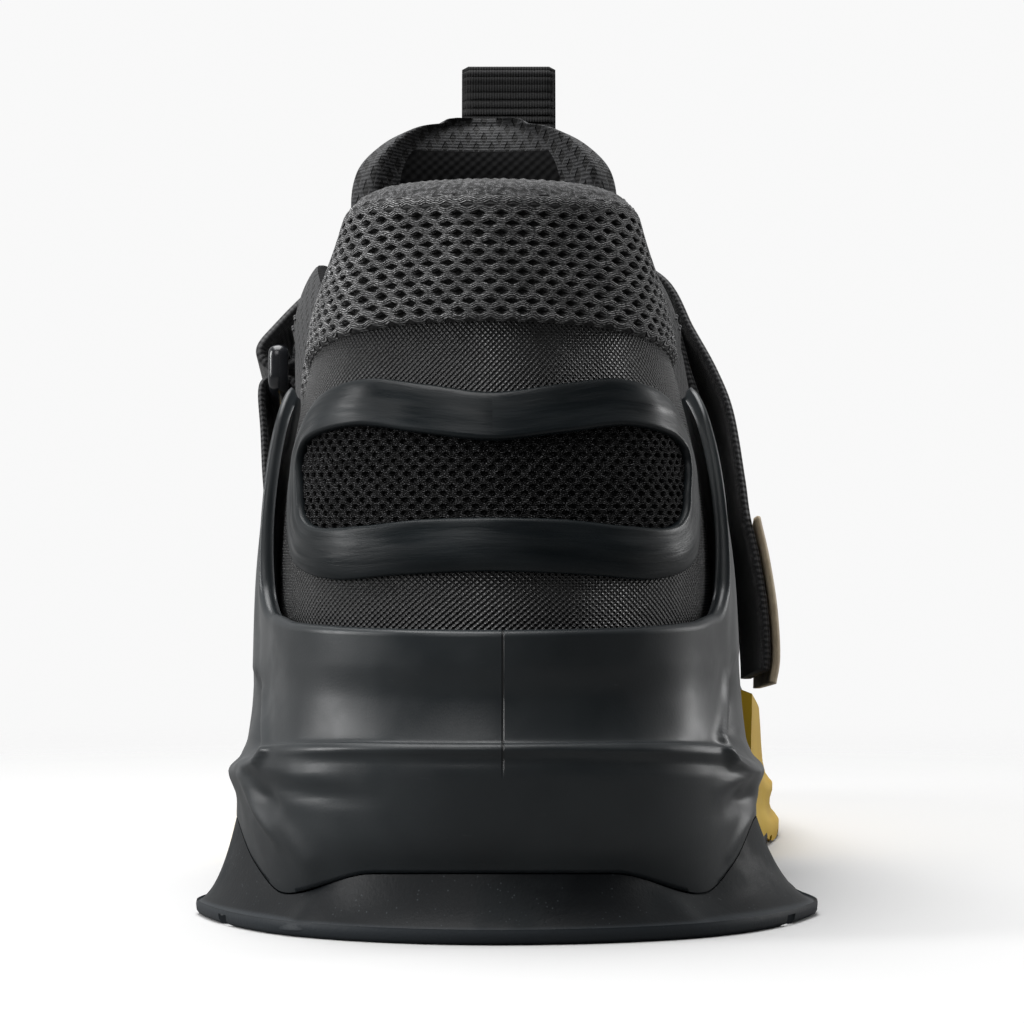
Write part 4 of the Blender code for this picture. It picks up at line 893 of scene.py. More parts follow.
# heel film ring and the knit in its window
filmUser = {"reach": 2.6, "columns": 320, "thick": 0.0011, "seat": 0.0005, "ripple": 0.00010,
            "knitDepth": 0.0007, "knitSpacing": 0.00020, "knitLow": 0.0575, "knitHigh": 0.0765,
            "knitBack": 0.0018, "knitSeat": 0.0008, "knitRise": 0.0013, "knitWander": 0.00012}
# across, up, window across, window up: shares of the reach and of the collar's height
filmOutline = np.array([
    (0.00, 0.722, 0.00, 0.657), (0.27, 0.733, 0.27, 0.667), (0.54, 0.742, 0.54, 0.678),
    (0.77, 0.729, 0.77, 0.669), (0.90, 0.705, 0.88, 0.655), (1.00, 0.650, 0.91, 0.632),
    (1.00, 0.590, 0.865, 0.591), (0.96, 0.532, 0.81, 0.557), (0.86, 0.491, 0.69, 0.542),
    (0.61, 0.473, 0.46, 0.545), (0.31, 0.480, 0.23, 0.553), (0.00, 0.485, 0.00, 0.555)])
# across from the outer edge to the window's edge, and up in shares of the film's thickness
filmProfile = ((0.0, -0.4), (0.0, 0.10), (0.015, 0.30), (0.045, 0.46), (0.12, 0.62), (0.25, 0.80),
               (0.40, 0.93), (0.55, 0.98), (0.70, 0.94), (0.82, 0.93), (0.90, 1.0), (0.955, 0.96),
               (0.985, 0.70), (1.0, 0.35), (1.0, -0.4), (0.5, -0.4))


def catmull(points, count, closed=False):
    # a smooth curve through points, evenly stepped between them; works on any array of knots
    points = np.asarray(points, float)
    knots = len(points)
    place = np.linspace(0, knots if closed else knots - 1, count, endpoint=not closed)
    base = np.minimum(place.astype(int), knots - 1 if closed else knots - 2)
    t = (place - base).reshape((-1,) + (1,) * (points.ndim - 1))
    if closed:
        p0, p1, p2, p3 = (points[(base + k) % knots] for k in (-1, 0, 1, 2))
    else:
        longer = np.concatenate((2 * points[:1] - points[1:2], points, 2 * points[-1:] - points[-2:-1]))
        p0, p1, p2, p3 = (longer[base + k] for k in (0, 1, 2, 3))
    return p1 + 0.5 * t * (p2 - p0 + t * (2 * p0 - 5 * p1 + 4 * p2 - p3 + t * (3 * p1 - p0 - 3 * p2 + p3)))


def filmLine(first):
    half = filmOutline[:, first:first + 2] * (filmUser["reach"], last["collarHeight"])
    other = half[-2:0:-1] * (-1, 1)
    return catmull(np.concatenate((half, other)), filmUser["columns"], closed=True)


def makeFilmRing():
    user = filmUser
    outer, window = filmLine(0), filmLine(2)
    turn = np.linspace(0, 2 * math.pi, user["columns"], endpoint=False)
    rings = []
    for share, rise in filmProfile:
        spot = outer + share * (window - outer)
        v = shareAtHeight(spot[:, 0], spot[:, 1])
        wave = np.sin(5 * turn + 3 * share) * 0.5 + np.sin(11 * turn - 4 * share + 1.3) * 0.3
        wave += np.sin(23 * turn) * 0.2
        lift = user["seat"] + rise * user["thick"] + user["ripple"] * wave * (rise > 0.6)
        rings.append(skin(spot[:, 0], v) + lift[:, None] * skinNormal(spot[:, 0], v))
    points = np.array(rings).transpose(1, 0, 2)
    run = arcLength(np.concatenate((points[:, 7], points[:1, 7])), 0)
    wide = np.array([share for share, _ in filmProfile] + [0.0]) * 0.009
    uv = np.stack(np.meshgrid(run, wide, indexing="ij"), axis=-1)
    mesh = gridMesh("film_ring", points, closedAcross=True, closedAlong=True, uv=uv)
    return finish("film_ring", mesh, [cloths["film"]], replaces=["heel_film_ring"])


def makeWindowKnit():
    user = filmUser
    reach = 0.99 * user["reach"]
    guide = np.linspace(-reach, reach, 200)
    run = arcLength(skin(guide, 0.45), 0)
    columns = int(run[-1] / user["knitSpacing"])
    u = np.interp(np.linspace(0, run[-1], columns), run, guide)
    across = np.interp(u, guide, run) - 0.5 * run[-1]
    share = np.abs(u) / user["reach"]
    top = np.interp(share, filmOutline[:6, 2], filmOutline[:6, 3]) * last["collarHeight"]
    low = np.interp(share, filmOutline[:5:-1, 2], filmOutline[:5:-1, 3]) * last["collarHeight"]
    z = np.arange(user["knitLow"], user["knitHigh"], user["knitSpacing"])
    height, wide = np.meshgrid(z, u, indexing="ij")
    inside = np.minimum(np.minimum(height - low, top - height), (0.905 - share) * user["reach"] * 0.011)
    inside = ease((inside + 0.0014) / 0.0012)
    hole = diamondHoles(across, height, windowNet)
    wander = user["knitWander"] * np.sin(across / 0.00037 + 3 * np.sin(height / 0.0011))
    lift = -user["knitSeat"] + user["knitRise"] * inside - user["knitDepth"] * hole * inside + wander * inside
    v = shareAtHeight(wide, height)
    normals = skinNormal(wide, v)
    front = skin(wide, v) + lift[..., None] * normals
    back = [skin(u, shareAtHeight(u, z[k])) - user["knitBack"] * normals[k] for k in (-1, 0)]
    points = np.concatenate((front, np.array(back))).transpose(1, 0, 2)
    climb = np.concatenate((z, [z[-1] + 0.001, z[0] - 0.001, z[0]]))
    uv = np.stack(np.meshgrid(np.append(across, across[-1]), climb, indexing="ij"), axis=-1)
    mesh = gridMesh("window_knit", points, closedAcross=True, uv=uv, capEnds=True)
    return finish("window_knit", mesh, [cloths["window"]])


makeFilmRing()
makeWindowKnit()

# midsole: a moulded block with a ledge across the heel, pinched sides and wings
midsoleUser = {"columnsPerRow": 8, "heelColumns": 32, "heelRows": 4.5, "ringsPerLevel": 13, "shelf": 0.0040,
               "bedInset": 0.0034}
lipShares = (0.16, 0.34, 0.52, 0.70)
# creases and ridges as seen from behind: width, then x, height and rise at each bend (mm)
soleCreases = (
    (0.80, ((-39.6, 22.3, 0.5), (-36.6, 17.3, 1.0), (-33.4, 12.8, 0.2))),
    (1.60, ((-38.3, 21.6, -0.3), (-35.8, 19.6, -1.3), (-33.0, 17.2, -0.2))),
    (1.10, ((-37.5, 22.8, -0.2), (-30.9, 21.2, -0.55), (-23.2, 20.6, -0.35), (-16.0, 20.6, 0.0))),
    (1.30, ((-36.5, 23.9, 0.2), (-30.5, 23.2, 0.35), (-24.0, 23.2, 0.1))),
    (1.90, ((-33.2, 15.6, 0.5), (-29.0, 10.5, 0.6), (-27.5, 6.0, 0.3))),
    (0.65, ((-36.8, 34.5, 0.3), (-36.2, 30.4, 0.8), (-35.5, 26.9, 0.9), (-37.0, 24.8, 0.8),
            (-39.2, 23.8, 0.3))),
    (1.00, ((-38.2, 36.0, -0.8), (-37.9, 31.0, -2.2), (-37.4, 27.6, -2.2), (-38.6, 25.4, -0.5))),
    (0.65, ((34.0, 37.0, 0.4), (33.2, 32.0, 1.1), (32.4, 28.4, 1.3), (34.4, 24.9, 1.2), (38.4, 22.7, 0.3))),
    (1.25, ((36.0, 38.0, -0.6), (35.5, 32.0, -2.2), (35.1, 28.6, -2.3), (36.8, 25.6, -0.3))),
    (0.80, ((38.3, 22.4, 0.2), (35.0, 21.8, 0.5), (31.6, 20.9, 0.1))),
    (1.55, ((38.2, 20.2, -0.3), (36.0, 18.9, -1.4), (32.8, 17.4, -0.2))),
    (0.80, ((38.9, 22.0, 0.3), (38.2, 18.6, 0.9), (36.6, 15.2, 1.1), (33.9, 10.4, 0.3))),
    (0.55, ((-33.0, 26.9, 0.1), (-22.5, 27.6, 0.45), (-10.0, 27.9, 0.30), (6.0, 28.0, 0.20),
            (24.0, 27.2, 0.40), (33.0, 26.0, 0.1))),
    (0.90, ((-30.0, 25.7, -0.1), (-12.0, 26.4, -0.35), (10.0, 26.5, -0.35), (29.0, 25.2, -0.5),
            (36.5, 23.6, -0.2))),
)


def jointRow(ahead):
    low, high = 4.0, 8.0
    for _ in range(30):
        middle = 0.5 * (low + high)
        low, high = (middle, high) if skin(middle, 0.0)[1] < ahead else (low, middle)
    return 0.5 * (low + high)


stepBehind = jointRow(last["soleJoint"] - 0.0030)
stepAhead = jointRow(last["soleJoint"] - 0.0006)


def soleColumns(perRow, heelColumns=None):
    # evenly stepped rows; round the heel they can be closer
    rows = np.linspace(0, toeRow, toeRow * perRow + 1)
    if heelColumns:
        far = midsoleUser["heelRows"]
        closer = np.linspace(0, far, int(far * heelColumns), endpoint=False)
        rows = np.concatenate((closer, rows[rows >= far]))
    rows = rows[(rows < stepBehind - 0.04) | (rows > stepAhead + 0.04)]
    rows = np.sort(np.concatenate((rows, (stepBehind, stepAhead))))
    return np.concatenate((rows, loopRows - rows[-2:0:-1]))


def inCup(u):
    return rowOf(u) > 0.5 * (stepBehind + stepAhead)


def foreLipHeight(u):
    return footbedHeight(skin(u, 0.0)[..., 1]) + rimCurve(rowOf(u)) * last["rimHeight"]


def rimHeight(u):
    bed = footbedHeight(skin(u, 0.0)[..., 1])
    wing = bed + rimCurve(rowOf(u)) * last["rimHeight"] + wingCurve(rowOf(u)) * (last["wingHeight"] - bed)
    return np.where(inCup(u), foreLipHeight(u), wing)


def cupFloor(u, out):
    return undersideHeight(sidePoint(u, 0.0, out)[..., 1]) + last["forePlate"]


def atHeight(points, height):
    points = np.array(points)
    points[..., 2] = height
    return points


def seamPoint(u, lift):
    inside = atHeight(sidePoint(u, 0.0, last["lipWall"]), cupFloor(u, last["lipWall"]) + lift)
    outside = sidePoint(u, 0.0, sideOut["seam"](rowOf(u)) * last["wallOut"])
    outside = atHeight(outside, sideUp["seam"](rowOf(u)) * last["seamHeight"] + lift)
    return np.where(inCup(u)[:, None], inside, outside)


def bedPoint(u, inset, lift):
    point = sidePoint(u, 0.0, -inset)
    plate = np.where(inCup(u), last["forePlate"], last["heelPlate"])
    return atHeight(point, undersideHeight(point[:, 1]) + plate + lift)


def footbedPoint(u, inset, lift):
    point = sidePoint(u, 0.0, -inset)
    return atHeight(point, footbedHeight(point[:, 1]) + lift)


def lipLevel(u, share):
    low = cupFloor(u, last["lipWall"])
    return low + share * (foreLipHeight(u) - low)


def midsoleLevel(u, name):
    lip = sidePoint(u, lipLevel(u, lipShares[sideNames.index(name) - 1]), last["lipWall"])
    side = sidePoint(u, sideUp[name](rowOf(u)) * last["heelStack"], sideOut[name](rowOf(u)) * last["wallOut"])
    return np.where(inCup(u)[:, None], lip, side)


def wingClearance(u, share):
    climb = ease((share * rimHeight(u) - last["heelStack"]) / last["heelStack"])
    return last["gap"] * (1.0 + 0.5 * share) + last["wingGap"] * climb


def creaseRelief(points, u):
    # soft troughs and crisp ridges on the rear half, placed by x and height as seen from behind
    x, t, z = points[..., 0] * 1000 - 1.4, points[..., 1] * 1000, points[..., 2] * 1000
    relief = np.zeros(x.shape)
    for wide, bends in soleCreases:
        nearest, height = np.full(x.shape, 1e3), np.zeros(x.shape)
        for (x0, z0, rise0), (x1, z1, rise1) in zip(bends, bends[1:]):
            dx, dz = x1 - x0, z1 - z0
            share = np.clip(((x - x0) * dx + (z - z0) * dz) / (dx * dx + dz * dz), 0, 1)
            away = np.hypot(x - x0 - share * dx, z - z0 - share * dz)
            closer = away < nearest
            nearest = np.where(closer, away, nearest)
            height = np.where(closer, rise0 + share * (rise1 - rise0), height)
        relief += height * np.exp(-(nearest / wide) ** 2)
    relief *= 1 - ease((t - 48.0) / 14.0)
    return relief / 1000 * (~inCup(u))


def makeMidsole():
    user = midsoleUser
    u = soleColumns(user["columnsPerRow"], user["heelColumns"])
    levels = [seamPoint(u, last["gap"])] + [midsoleLevel(u, name) for name in sideNames[1:]]
    scoop = levels[-1][:, 2]
    for share in (0.5, 0.92):
        side = rimOutCurve(rowOf(u)) * last["wallOut"] * (1.15 - 0.15 * share)
        out = np.where(inCup(u), last["lipWall"], side)
        levels.append(sidePoint(u, scoop + share * (rimHeight(u) - scoop), out))
    outside = catmull(np.array(levels), user["ringsPerLevel"] * (len(levels) - 1) + 1)
    flats = unit(skinNormal(u, 0.3) * (1.0, 1.0, 0.0))
    middle = np.sin(np.linspace(0.12, 1, len(outside)) * math.pi)
    outside = outside + (creaseRelief(outside, u) * ease(middle / 0.35)[:, None])[..., None] * flats
    rings = [bedPoint(u, user["shelf"], last["gap"])] + list(outside)
    rimOut = outside[-1]
    rimIn = sidePoint(u, 0.965 * rimHeight(u), wingClearance(u, 1.0))
    top = rimHeight(u)
    for turn in np.linspace(0, math.pi, 7)[1:-1]:
        spot = 0.5 * (rimOut + rimIn) + 0.5 * math.cos(turn) * (rimOut - rimIn)
        high = 0.5 * (rimOut[:, 2] + rimIn[:, 2]) + 0.5 * math.cos(turn) * (rimOut[:, 2] - rimIn[:, 2])
        rings.append(atHeight(spot, high + math.sin(turn) * (top - high)))
    for share in (0.965, 0.80, 0.62, 0.44, 0.22, 0.0):
        bed = skin(u, 0.0)[:, 2] - last["gap"]
        rings.append(sidePoint(u, bed + share * (top - bed), wingClearance(u, share)))
    rings.append(footbedPoint(u, user["bedInset"], 0.0))
    mesh = capped("midsole_block", rings)
    return finish("midsole_block", mesh, [cloths["slate"]], replaces=["midsole"], smooth=85)


def capped(name, rings):
    # closes a loft's two ends with ladders between the two sides of the shoe
    points = np.array(rings)
    mesh = gridMesh(name, points)
    shape = bmesh.new()
    shape.from_mesh(mesh)
    shape.verts.ensure_lookup_table()
    count = points.shape[1]
    for first in (0, (points.shape[0] - 1) * count):
        loop = [shape.verts[first + k] for k in range(count)]
        shape.faces.new((loop[0], loop[1], loop[-1]))
        for i in range(1, count // 2 - 1):
            shape.faces.new((loop[i], loop[i + 1], loop[count - i - 1], loop[count - i]))
        middle = count // 2
        shape.faces.new((loop[middle - 1], loop[middle], loop[middle + 1]))
    bmesh.ops.recalc_face_normals(shape, faces=shape.faces)
    shape.to_mesh(mesh)
    shape.free()
    return mesh


makeMidsole()

# outsoles: black heel plate with a concave flare, mustard forefoot cup
outsoleUser = {"flareLean": 0.0017, "columnsPerRow": 14, "edgeBand": 0.0023, "grooveWidth": 0.0030,
               "grooveDepth": 0.0016, "cornerSharpness": 0.0014, "cornerRow": 1.55, "cornerReach": 0.16,
               "room": 0.4, "smooth": 38}
# out and down, from the seam to the edge of the flare
heelFlare = ((0.0, 0.0), (0.09, 0.15), (0.20, 0.32), (0.36, 0.52), (0.55, 0.69), (0.74, 0.80), (0.90, 0.86))
# out and up, from under the cup's rim to the floor
cupProfile = ((0.0, 0.97), (0.05, 0.84), (0.10, 0.72), (0.22, 0.58), (0.36, 0.49), (0.55, 0.44), (0.70, 0.41),
              (0.70, 0.36), (0.58, 0.30), (0.57, 0.25), (0.66, 0.20), (0.86, 0.16), (1.0, 0.12), (0.99, 0.05),
              (0.93, 0.01))


def flareShare(row):
    # widest at the pointed corners beside the heel
    behind = 0.62 + 0.41 * (np.minimum(row, 3.0) / 3.0) ** 1.7
    return behind - 0.20 * ease((row - 3.0) / 0.6) - 0.35 * ease((row - 3.4) / 2.6)


def flareReach(u):
    # the flare reaches further on the outer side of the heel than on the inner side
    row = rowOf(u)
    lean = ease(row / 2.5) - ease((row - 3.6) / 2)
    return last["soleFlare"] * flareShare(row) + np.where(u < toeRow, -1, 1) * outsoleUser["flareLean"] * lean


def cutOutsole(piece, side, gap, first, step, count):
    # takes off what lies past the joint of the soles and cuts grooves at even shares of the length
    user, length, seat = outsoleUser, last["shoeLength"], last["heelSeat"]
    room = user["room"]
    cutters = [boxMesh((0, last["soleJoint"] + gap + side * 0.5 * room - seat, 0), (room, room, room))]
    for k in range(count):
        place = first * length + step * length * k - seat
        cutters.append(boxMesh((0, place, 0), (room, user["grooveWidth"], 2 * user["grooveDepth"])))
    cutWith(piece, cutters)
    piece.data.shade_smooth()
    piece.data.set_sharp_from_angle(angle=math.radians(user["smooth"]))
    return piece


def makeHeelOutsole():
    user = outsoleUser
    u = soleColumns(user["columnsPerRow"])
    row = rowOf(u)
    seam = seamPoint(u, 0.0)
    seamOut = np.where(inCup(u), last["lipWall"], sideOut["seam"](row) * last["wallOut"])
    reach = flareReach(u)
    levels = []
    for outShare, downShare in heelFlare:
        point = sidePoint(u, 0.0, seamOut + outShare * np.maximum(reach - seamOut, 0.001))
        floor = undersideHeight(point[:, 1])
        levels.append(atHeight(point, seam[:, 2] + downShare * (floor - seam[:, 2])))
    tip = sidePoint(u, 0.0, reach - 0.0002)
    levels.append(atHeight(tip, undersideHeight(tip[:, 1]) + user["edgeBand"]))
    smooth = catmull(np.array(levels), 8 * (len(levels) - 1) + 1)
    # the corner ridge where the back face turns into the side flare
    bend = np.exp(-((row - user["cornerRow"]) / user["cornerReach"]) ** 2)
    down = np.sin(np.linspace(0, 1, len(smooth)) * math.pi)[:, None]
    flats = unit(skinNormal(u, 0.0) * (1.0, 1.0, 0.0))
    smooth = smooth + (user["cornerSharpness"] * bend * down)[..., None] * flats
    rings = [bedPoint(u, midsoleUser["shelf"], 0.0)] + list(smooth)
    for out, up in ((0.0001, 0.75), (0.0002, 0.35), (0.0006, 0.10), (0.0012, 0.0), (0.0150, 0.0)):
        point = sidePoint(u, 0.0, reach - out)
        rings.append(atHeight(point, undersideHeight(point[:, 1]) + up * user["edgeBand"]))
    mesh = capped("heel_plate", rings)
    piece = finish("heel_plate", mesh, [cloths["rubber"]], replaces=["heel_outsole"])
    return cutOutsole(piece, side=1, gap=0.0, first=0.10, step=0.075, count=4)


def outerSideShare(u):
    return ease((u - toeRow) / 3.0)


def cupRimHeight(u):
    return skin(u, 0.0)[..., 2] + last["cupRim"] * (1 - 0.30 * (1 - outerSideShare(u)))


def makeForefootOutsole():
    u = soleColumns(outsoleUser["columnsPerRow"])
    clear = last["lipWall"] + last["gap"]
    rings = [bedPoint(u, midsoleUser["shelf"], 0.0)]
    rings.append(atHeight(sidePoint(u, 0.0, clear), cupFloor(u, last["lipWall"])))
    for share in lipShares:
        rings.append(sidePoint(u, lipLevel(u, share), clear))
    rings.append(sidePoint(u, cupRimHeight(u), clear))
    outerShare = (0.62 + 0.38 * outerSideShare(u)) * (0.55 + 0.45 * ease((rowOf(u) - 6) / 2))
    reach = last["cupFlare"] * outerShare
    for outShare, upShare in cupProfile:
        out = clear + last["cupWall"] + outShare * np.maximum(reach - clear - last["cupWall"], 0.001)
        floor = undersideHeight(sidePoint(u, 0.0, out)[:, 1])
        rings.append(sidePoint(u, floor + upShare * (cupRimHeight(u) - floor), out))
    rings.append(atHeight(sidePoint(u, 0.0, -0.012), undersideHeight(skin(u, 0.0)[:, 1])))
    mesh = capped("forefoot_cup", rings)
    piece = finish("forefoot_cup", mesh, [cloths["mustard"]], replaces=["forefoot_outsole"])
    return cutOutsole(piece, side=-1, gap=last["gap"], first=0.60, step=0.05, count=5)


makeHeelOutsole()
makeForefootOutsole()


def makeInsole():
    u = soleColumns(8)
    rings = [footbedPoint(u, midsoleUser["bedInset"], last["gap"])]
    for rise, inset in ((0.25, 0.0006), (0.6, 0.0004), (0.86, 0.0004), (0.97, 0.0007), (1.0, 0.0014)):
        height = skin(u, 0.0)[:, 2] + rise * last["insoleThick"]
        rings.append(sidePoint(u, height, -(last["upperWall"] + inset)))
    for inset, drop in ((0.004, 0.93), (0.008, 0.80), (0.0125, 0.72)):
        rings.append(footbedPoint(u, inset, last["gap"] + drop * last["insoleThick"]))
    mesh = capped("sock_liner", rings)
    return finish("sock_liner", mesh, [cloths["insole"]], replaces=["insole"])


makeInsole()

# tongue and its pull loop
tongueUser = {"thick": 0.0030, "pad": 0.0080, "height": 0.1275, "topWidth": 0.0450, "side": 0.0050,
              "drop": 0.0016, "sag": 0.0032, "tuck": 0.0080, "foot": 0.0120, "rings": 150, "columns": 44,
              "topRings": 34, "rimPlace": 0.84, "rimReach": 0.11, "paintedShadeWide": 0.62, "paintedShadeTop": 0.83}
# along, up, wide, thick, wrap
tongueTop = np.array([
    (0.352, 0.778, 0.800, 0.55, 0.250), (0.344, 0.835, 0.920, 0.72, 0.420),
    (0.340, 0.885, 0.985, 0.84, 0.560), (0.341, 0.928, 0.935, 0.88, 0.560),
    (0.345, 0.961, 0.775, 0.84, 0.460), (0.348, 0.982, 0.580, 0.72, 0.330),
    (0.350, 0.991, 0.360, 0.55, 0.220)])


def tongueStations():
    user = tongueUser
    stations = []
    for row in (13.0, 12.0, 10.8, 9.8, 8.8, 7.8, 6.9, 6.2):
        inner, outer = skin(row, 1.0), skin(loopRows - row, 1.0)
        half = 0.5 * (outer[0] - inner[0]) + user["side"] - 0.0060 * float(ease((8.4 - row) / 2.2))
        drop = user["drop"] + (last["upperWall"] + 0.0011 - user["drop"]) * float(ease((row - 9.0) / 3.0))
        middle = 0.5 * (inner + outer) + np.array((0, user["tuck"] if row == 13.0 else 0.0, -drop))
        thick = user["thick"] + 0.35 * (user["pad"] - user["thick"]) * float(ease((9.0 - row) / 3.0))
        stations.append((*middle, max(half, user["foot"]), thick, user["sag"]))
    lean = 0.5 * topLine[5, 3] * last["ballWidth"]
    for along, up, wide, thick, wrap in tongueTop:
        stations.append((lean, along * last["shoeLength"], up * user["height"], 0.5 * wide * user["topWidth"],
                         thick * user["pad"], wrap * user["pad"]))
    return np.array(stations)


def makeTongue():
    user = tongueUser
    rows = catmull(tongueStations(), user["rings"])
    middles = rows[:, :3]
    ways = np.gradient(middles, axis=0)
    ways[-user["topRings"]:] = ways[-user["topRings"]]
    out = unit(np.stack((np.zeros(len(ways)), ways[:, 2], -ways[:, 1]), axis=-1))
    run = arcLength(middles, 0)
    shares = np.sin(np.linspace(-0.5 * math.pi, 0.5 * math.pi, user["columns"]))
    lap = np.concatenate((shares, shares[-2:0:-1]))
    rings, uvs = [], []
    for spot, way, far in zip(rows, out, run):
        half, thick, wrap = spot[3:]
        front = [spot[:3] + np.array((s * half, 0, 0)) - wrap * s * s * way for s in shares]
        back = []
        for s in lap[len(shares):]:
            rim = math.exp(-((abs(s) - user["rimPlace"]) / user["rimReach"]) ** 2)
            pad = thick * math.sqrt(max(1 - s ** 4, 0.0)) * (0.62 + 0.62 * rim)
            back.append(spot[:3] + np.array((s * half, 0, 0)) - (wrap * s * s + pad) * way)
        rings.append(front + back)
        uvs.append([(half * s, far) for s in lap] + [(-half, far)])
    # the top closes over in a soft round
    tip = np.array(rings[-1])
    centre = tip.mean(axis=0)
    for share, rise in ((0.97, 0.0004), (0.88, 0.0008), (0.68, 0.0011), (0.35, 0.0013)):
        rings.append(list(centre + (tip - centre) * (share, share, share) + np.array((0, 0, rise))))
        uvs.append([(a * share, b + rise) for a, b in uvs[user["rings"] - 1]])
    mesh = gridMesh("tongue_pad", np.array(rings), uv=np.array(uvs), capEnds=True)
    # the inner face gets the dark lining cloth inside a rim of the outer mesh: painted shade of the hollow
    # behind the tongue
    sides = np.concatenate((np.ones(user["columns"]), np.abs(shares[-2:0:-1])))
    alongShare = np.arange(len(rings) - 1) / user["rings"]
    inner = (sides[None, :] < user["paintedShadeWide"]) & (alongShare[:, None] < user["paintedShadeTop"])
    paint(mesh, inner, (0, 0))
    return finish("tongue_pad", mesh, [cloths["tongue"], cloths["liningAndShade"]], replaces=["tongue"])


def slabMesh(name, grid, thickness, shift=0.0, edge=0.12):
    # a strip of cloth through a grid of points (along, across), with its long edges rounded
    normals = unit(np.cross(np.gradient(grid, axis=0), np.gradient(grid, axis=1)))
    side = np.linspace(-1, 1, grid.shape[1])
    rounding = np.sqrt(np.clip(1 - (np.clip(np.abs(side) - (1 - edge), 0, edge) / edge) ** 2, 0.04, 1))
    half = 0.5 * thickness * rounding[None, :, None]
    near = grid + (shift - half) * normals
    far = grid + (shift + half) * normals
    points = np.concatenate((near, far[:, ::-1]), axis=1)
    run = arcLength(grid, 0)[:, grid.shape[1] // 2]
    wide = arcLength(grid, 1)[0]
    across = np.concatenate((wide, wide[::-1], wide[:1]))
    uv = np.stack(np.meshgrid(run, across, indexing="ij")[::-1], axis=-1)
    return gridMesh(name, points, uv=uv, capEnds=True)


loopUser = {"width": 0.0158, "rise": 0.0109, "ribbon": 0.0014, "shift": 0.0041, "rib": 0.00135,
            "ribDepth": 0.00016, "rings": 170, "columns": 16}
# ahead and up, in shares of the rise, from the inner foot over the fold to the outer foot
loopPath = np.array([(-0.22, -1.30), (-0.11, -0.60), (0.06, 0.00), (0.15, 0.50), (0.26, 0.84), (0.42, 0.95),
                     (0.56, 0.84), (0.56, 0.40), (0.38, -0.20), (0.07, -0.80), (-0.12, -1.30)])


def makeLoop():
    user = loopUser
    top = tongueStations()[-1][:3]
    path = catmull(loopPath * user["rise"], user["rings"])
    run = arcLength(path, 0)
    ways = unit(np.gradient(path, axis=0))
    side = np.stack((-ways[:, 1], ways[:, 0]), axis=-1)
    path = path + (user["ribDepth"] * np.cos(2 * math.pi * run / user["rib"]))[:, None] * side
    across = np.linspace(-0.5, 0.5, user["columns"]) * user["width"] + user["shift"]
    grid = np.array([[(top[0] + x, top[1] + a, top[2] + up) for x in across] for a, up in path])
    mesh = slabMesh("pull_loop", grid, user["ribbon"])
    return finish("pull_loop", mesh, [cloths["ribbon"]], replaces=["tongue_loop"])


makeTongue()
makeLoop()

# strap over the instep, its ring and its tabs
strapUser = {"thick": 0.0018, "width": 0.0300, "ahead": 0.1020, "webbing": 0.0012, "tabRows": 5,
             "ringDepth": 0.0034, "ringBar": 0.0022, "ringOpening": 0.0044, "perRow": 12, "columns": 36,
             "turnRow": 20, "bareEnd": 6, "ringSteps": 128, "ringCorners": 20, "ringSquare": 0.28}
# rear x, rear z, front x, front z: shares of half the ball width and of the instep height
strapPath = np.array([
    (0.870, 0.463, 0.935, 0.389), (0.872, 0.552, 0.930, 0.479), (0.862, 0.645, 0.902, 0.562),
    (0.809, 0.749, 0.848, 0.646), (0.740, 0.842, 0.768, 0.729), (0.640, 0.964, 0.678, 0.850),
    (0.418, 1.014, 0.432, 0.906), (0.195, 1.022, 0.195, 0.911), (0.000, 1.028, 0.000, 0.916),
    (-0.195, 1.022, -0.195, 0.911), (-0.418, 1.014, -0.432, 0.906), (-0.595, 0.976, -0.595, 0.866),
    (-0.708, 0.920, -0.708, 0.834), (-0.760, 0.890, -0.760, 0.826), (-0.776, 0.863, -0.776, 0.799),
    (-0.839, 0.854, -0.839, 0.790), (-0.893, 0.863, -0.893, 0.799), (-0.907, 0.886, -0.907, 0.822),
    (-0.842, 0.920, -0.840, 0.852), (-0.742, 0.964, -0.740, 0.882), (-0.622, 1.009, -0.622, 0.899),
    (-0.418, 1.042, -0.418, 0.934), (-0.195, 1.050, -0.195, 0.939), (0.000, 1.056, 0.000, 0.945),
    (0.195, 1.050, 0.195, 0.939), (0.418, 1.042, 0.432, 0.934), (0.640, 0.998, 0.690, 0.884),
    (0.747, 0.918, 0.795, 0.790), (0.839, 0.847, 0.878, 0.719), (0.901, 0.778, 0.929, 0.650),
    (0.945, 0.670, 0.955, 0.562), (0.966, 0.606, 0.966, 0.512), (1.003, 0.536, 0.980, 0.463),
    (1.034, 0.453, 0.994, 0.404), (1.045, 0.374, 1.004, 0.341), (1.030, 0.330, 1.004, 0.305)])
holderPath = np.array([
    (-0.795, 0.473, -0.832, 0.394), (-0.817, 0.591, -0.831, 0.493), (-0.811, 0.690, -0.809, 0.591),
    (-0.798, 0.768, -0.792, 0.690), (-0.770, 0.812, -0.770, 0.748), (-0.786, 0.831, -0.786, 0.767),
    (-0.839, 0.8365, -0.839, 0.7725), (-0.892, 0.831, -0.892, 0.767), (-0.909, 0.810, -0.909, 0.746),
    (-0.900, 0.749, -0.900, 0.685), (-0.893, 0.680, -0.893, 0.616), (-0.880, 0.611, -0.882, 0.552)])


def bandGrid(rows, along, across):
    half, high = 0.5 * last["ballWidth"], last["instepHeight"]
    rows = catmull(rows, along)
    rear = np.stack((rows[:, 0] * half, np.full(along, strapUser["ahead"]), rows[:, 1] * high), axis=-1)
    front = np.stack((rows[:, 2] * half, np.full(along, strapUser["ahead"] + strapUser["width"]),
                      rows[:, 3] * high), axis=-1)
    share = np.linspace(0, 1, across)[None, :, None]
    return rear[:, None] * (1 - share) + front[:, None] * share


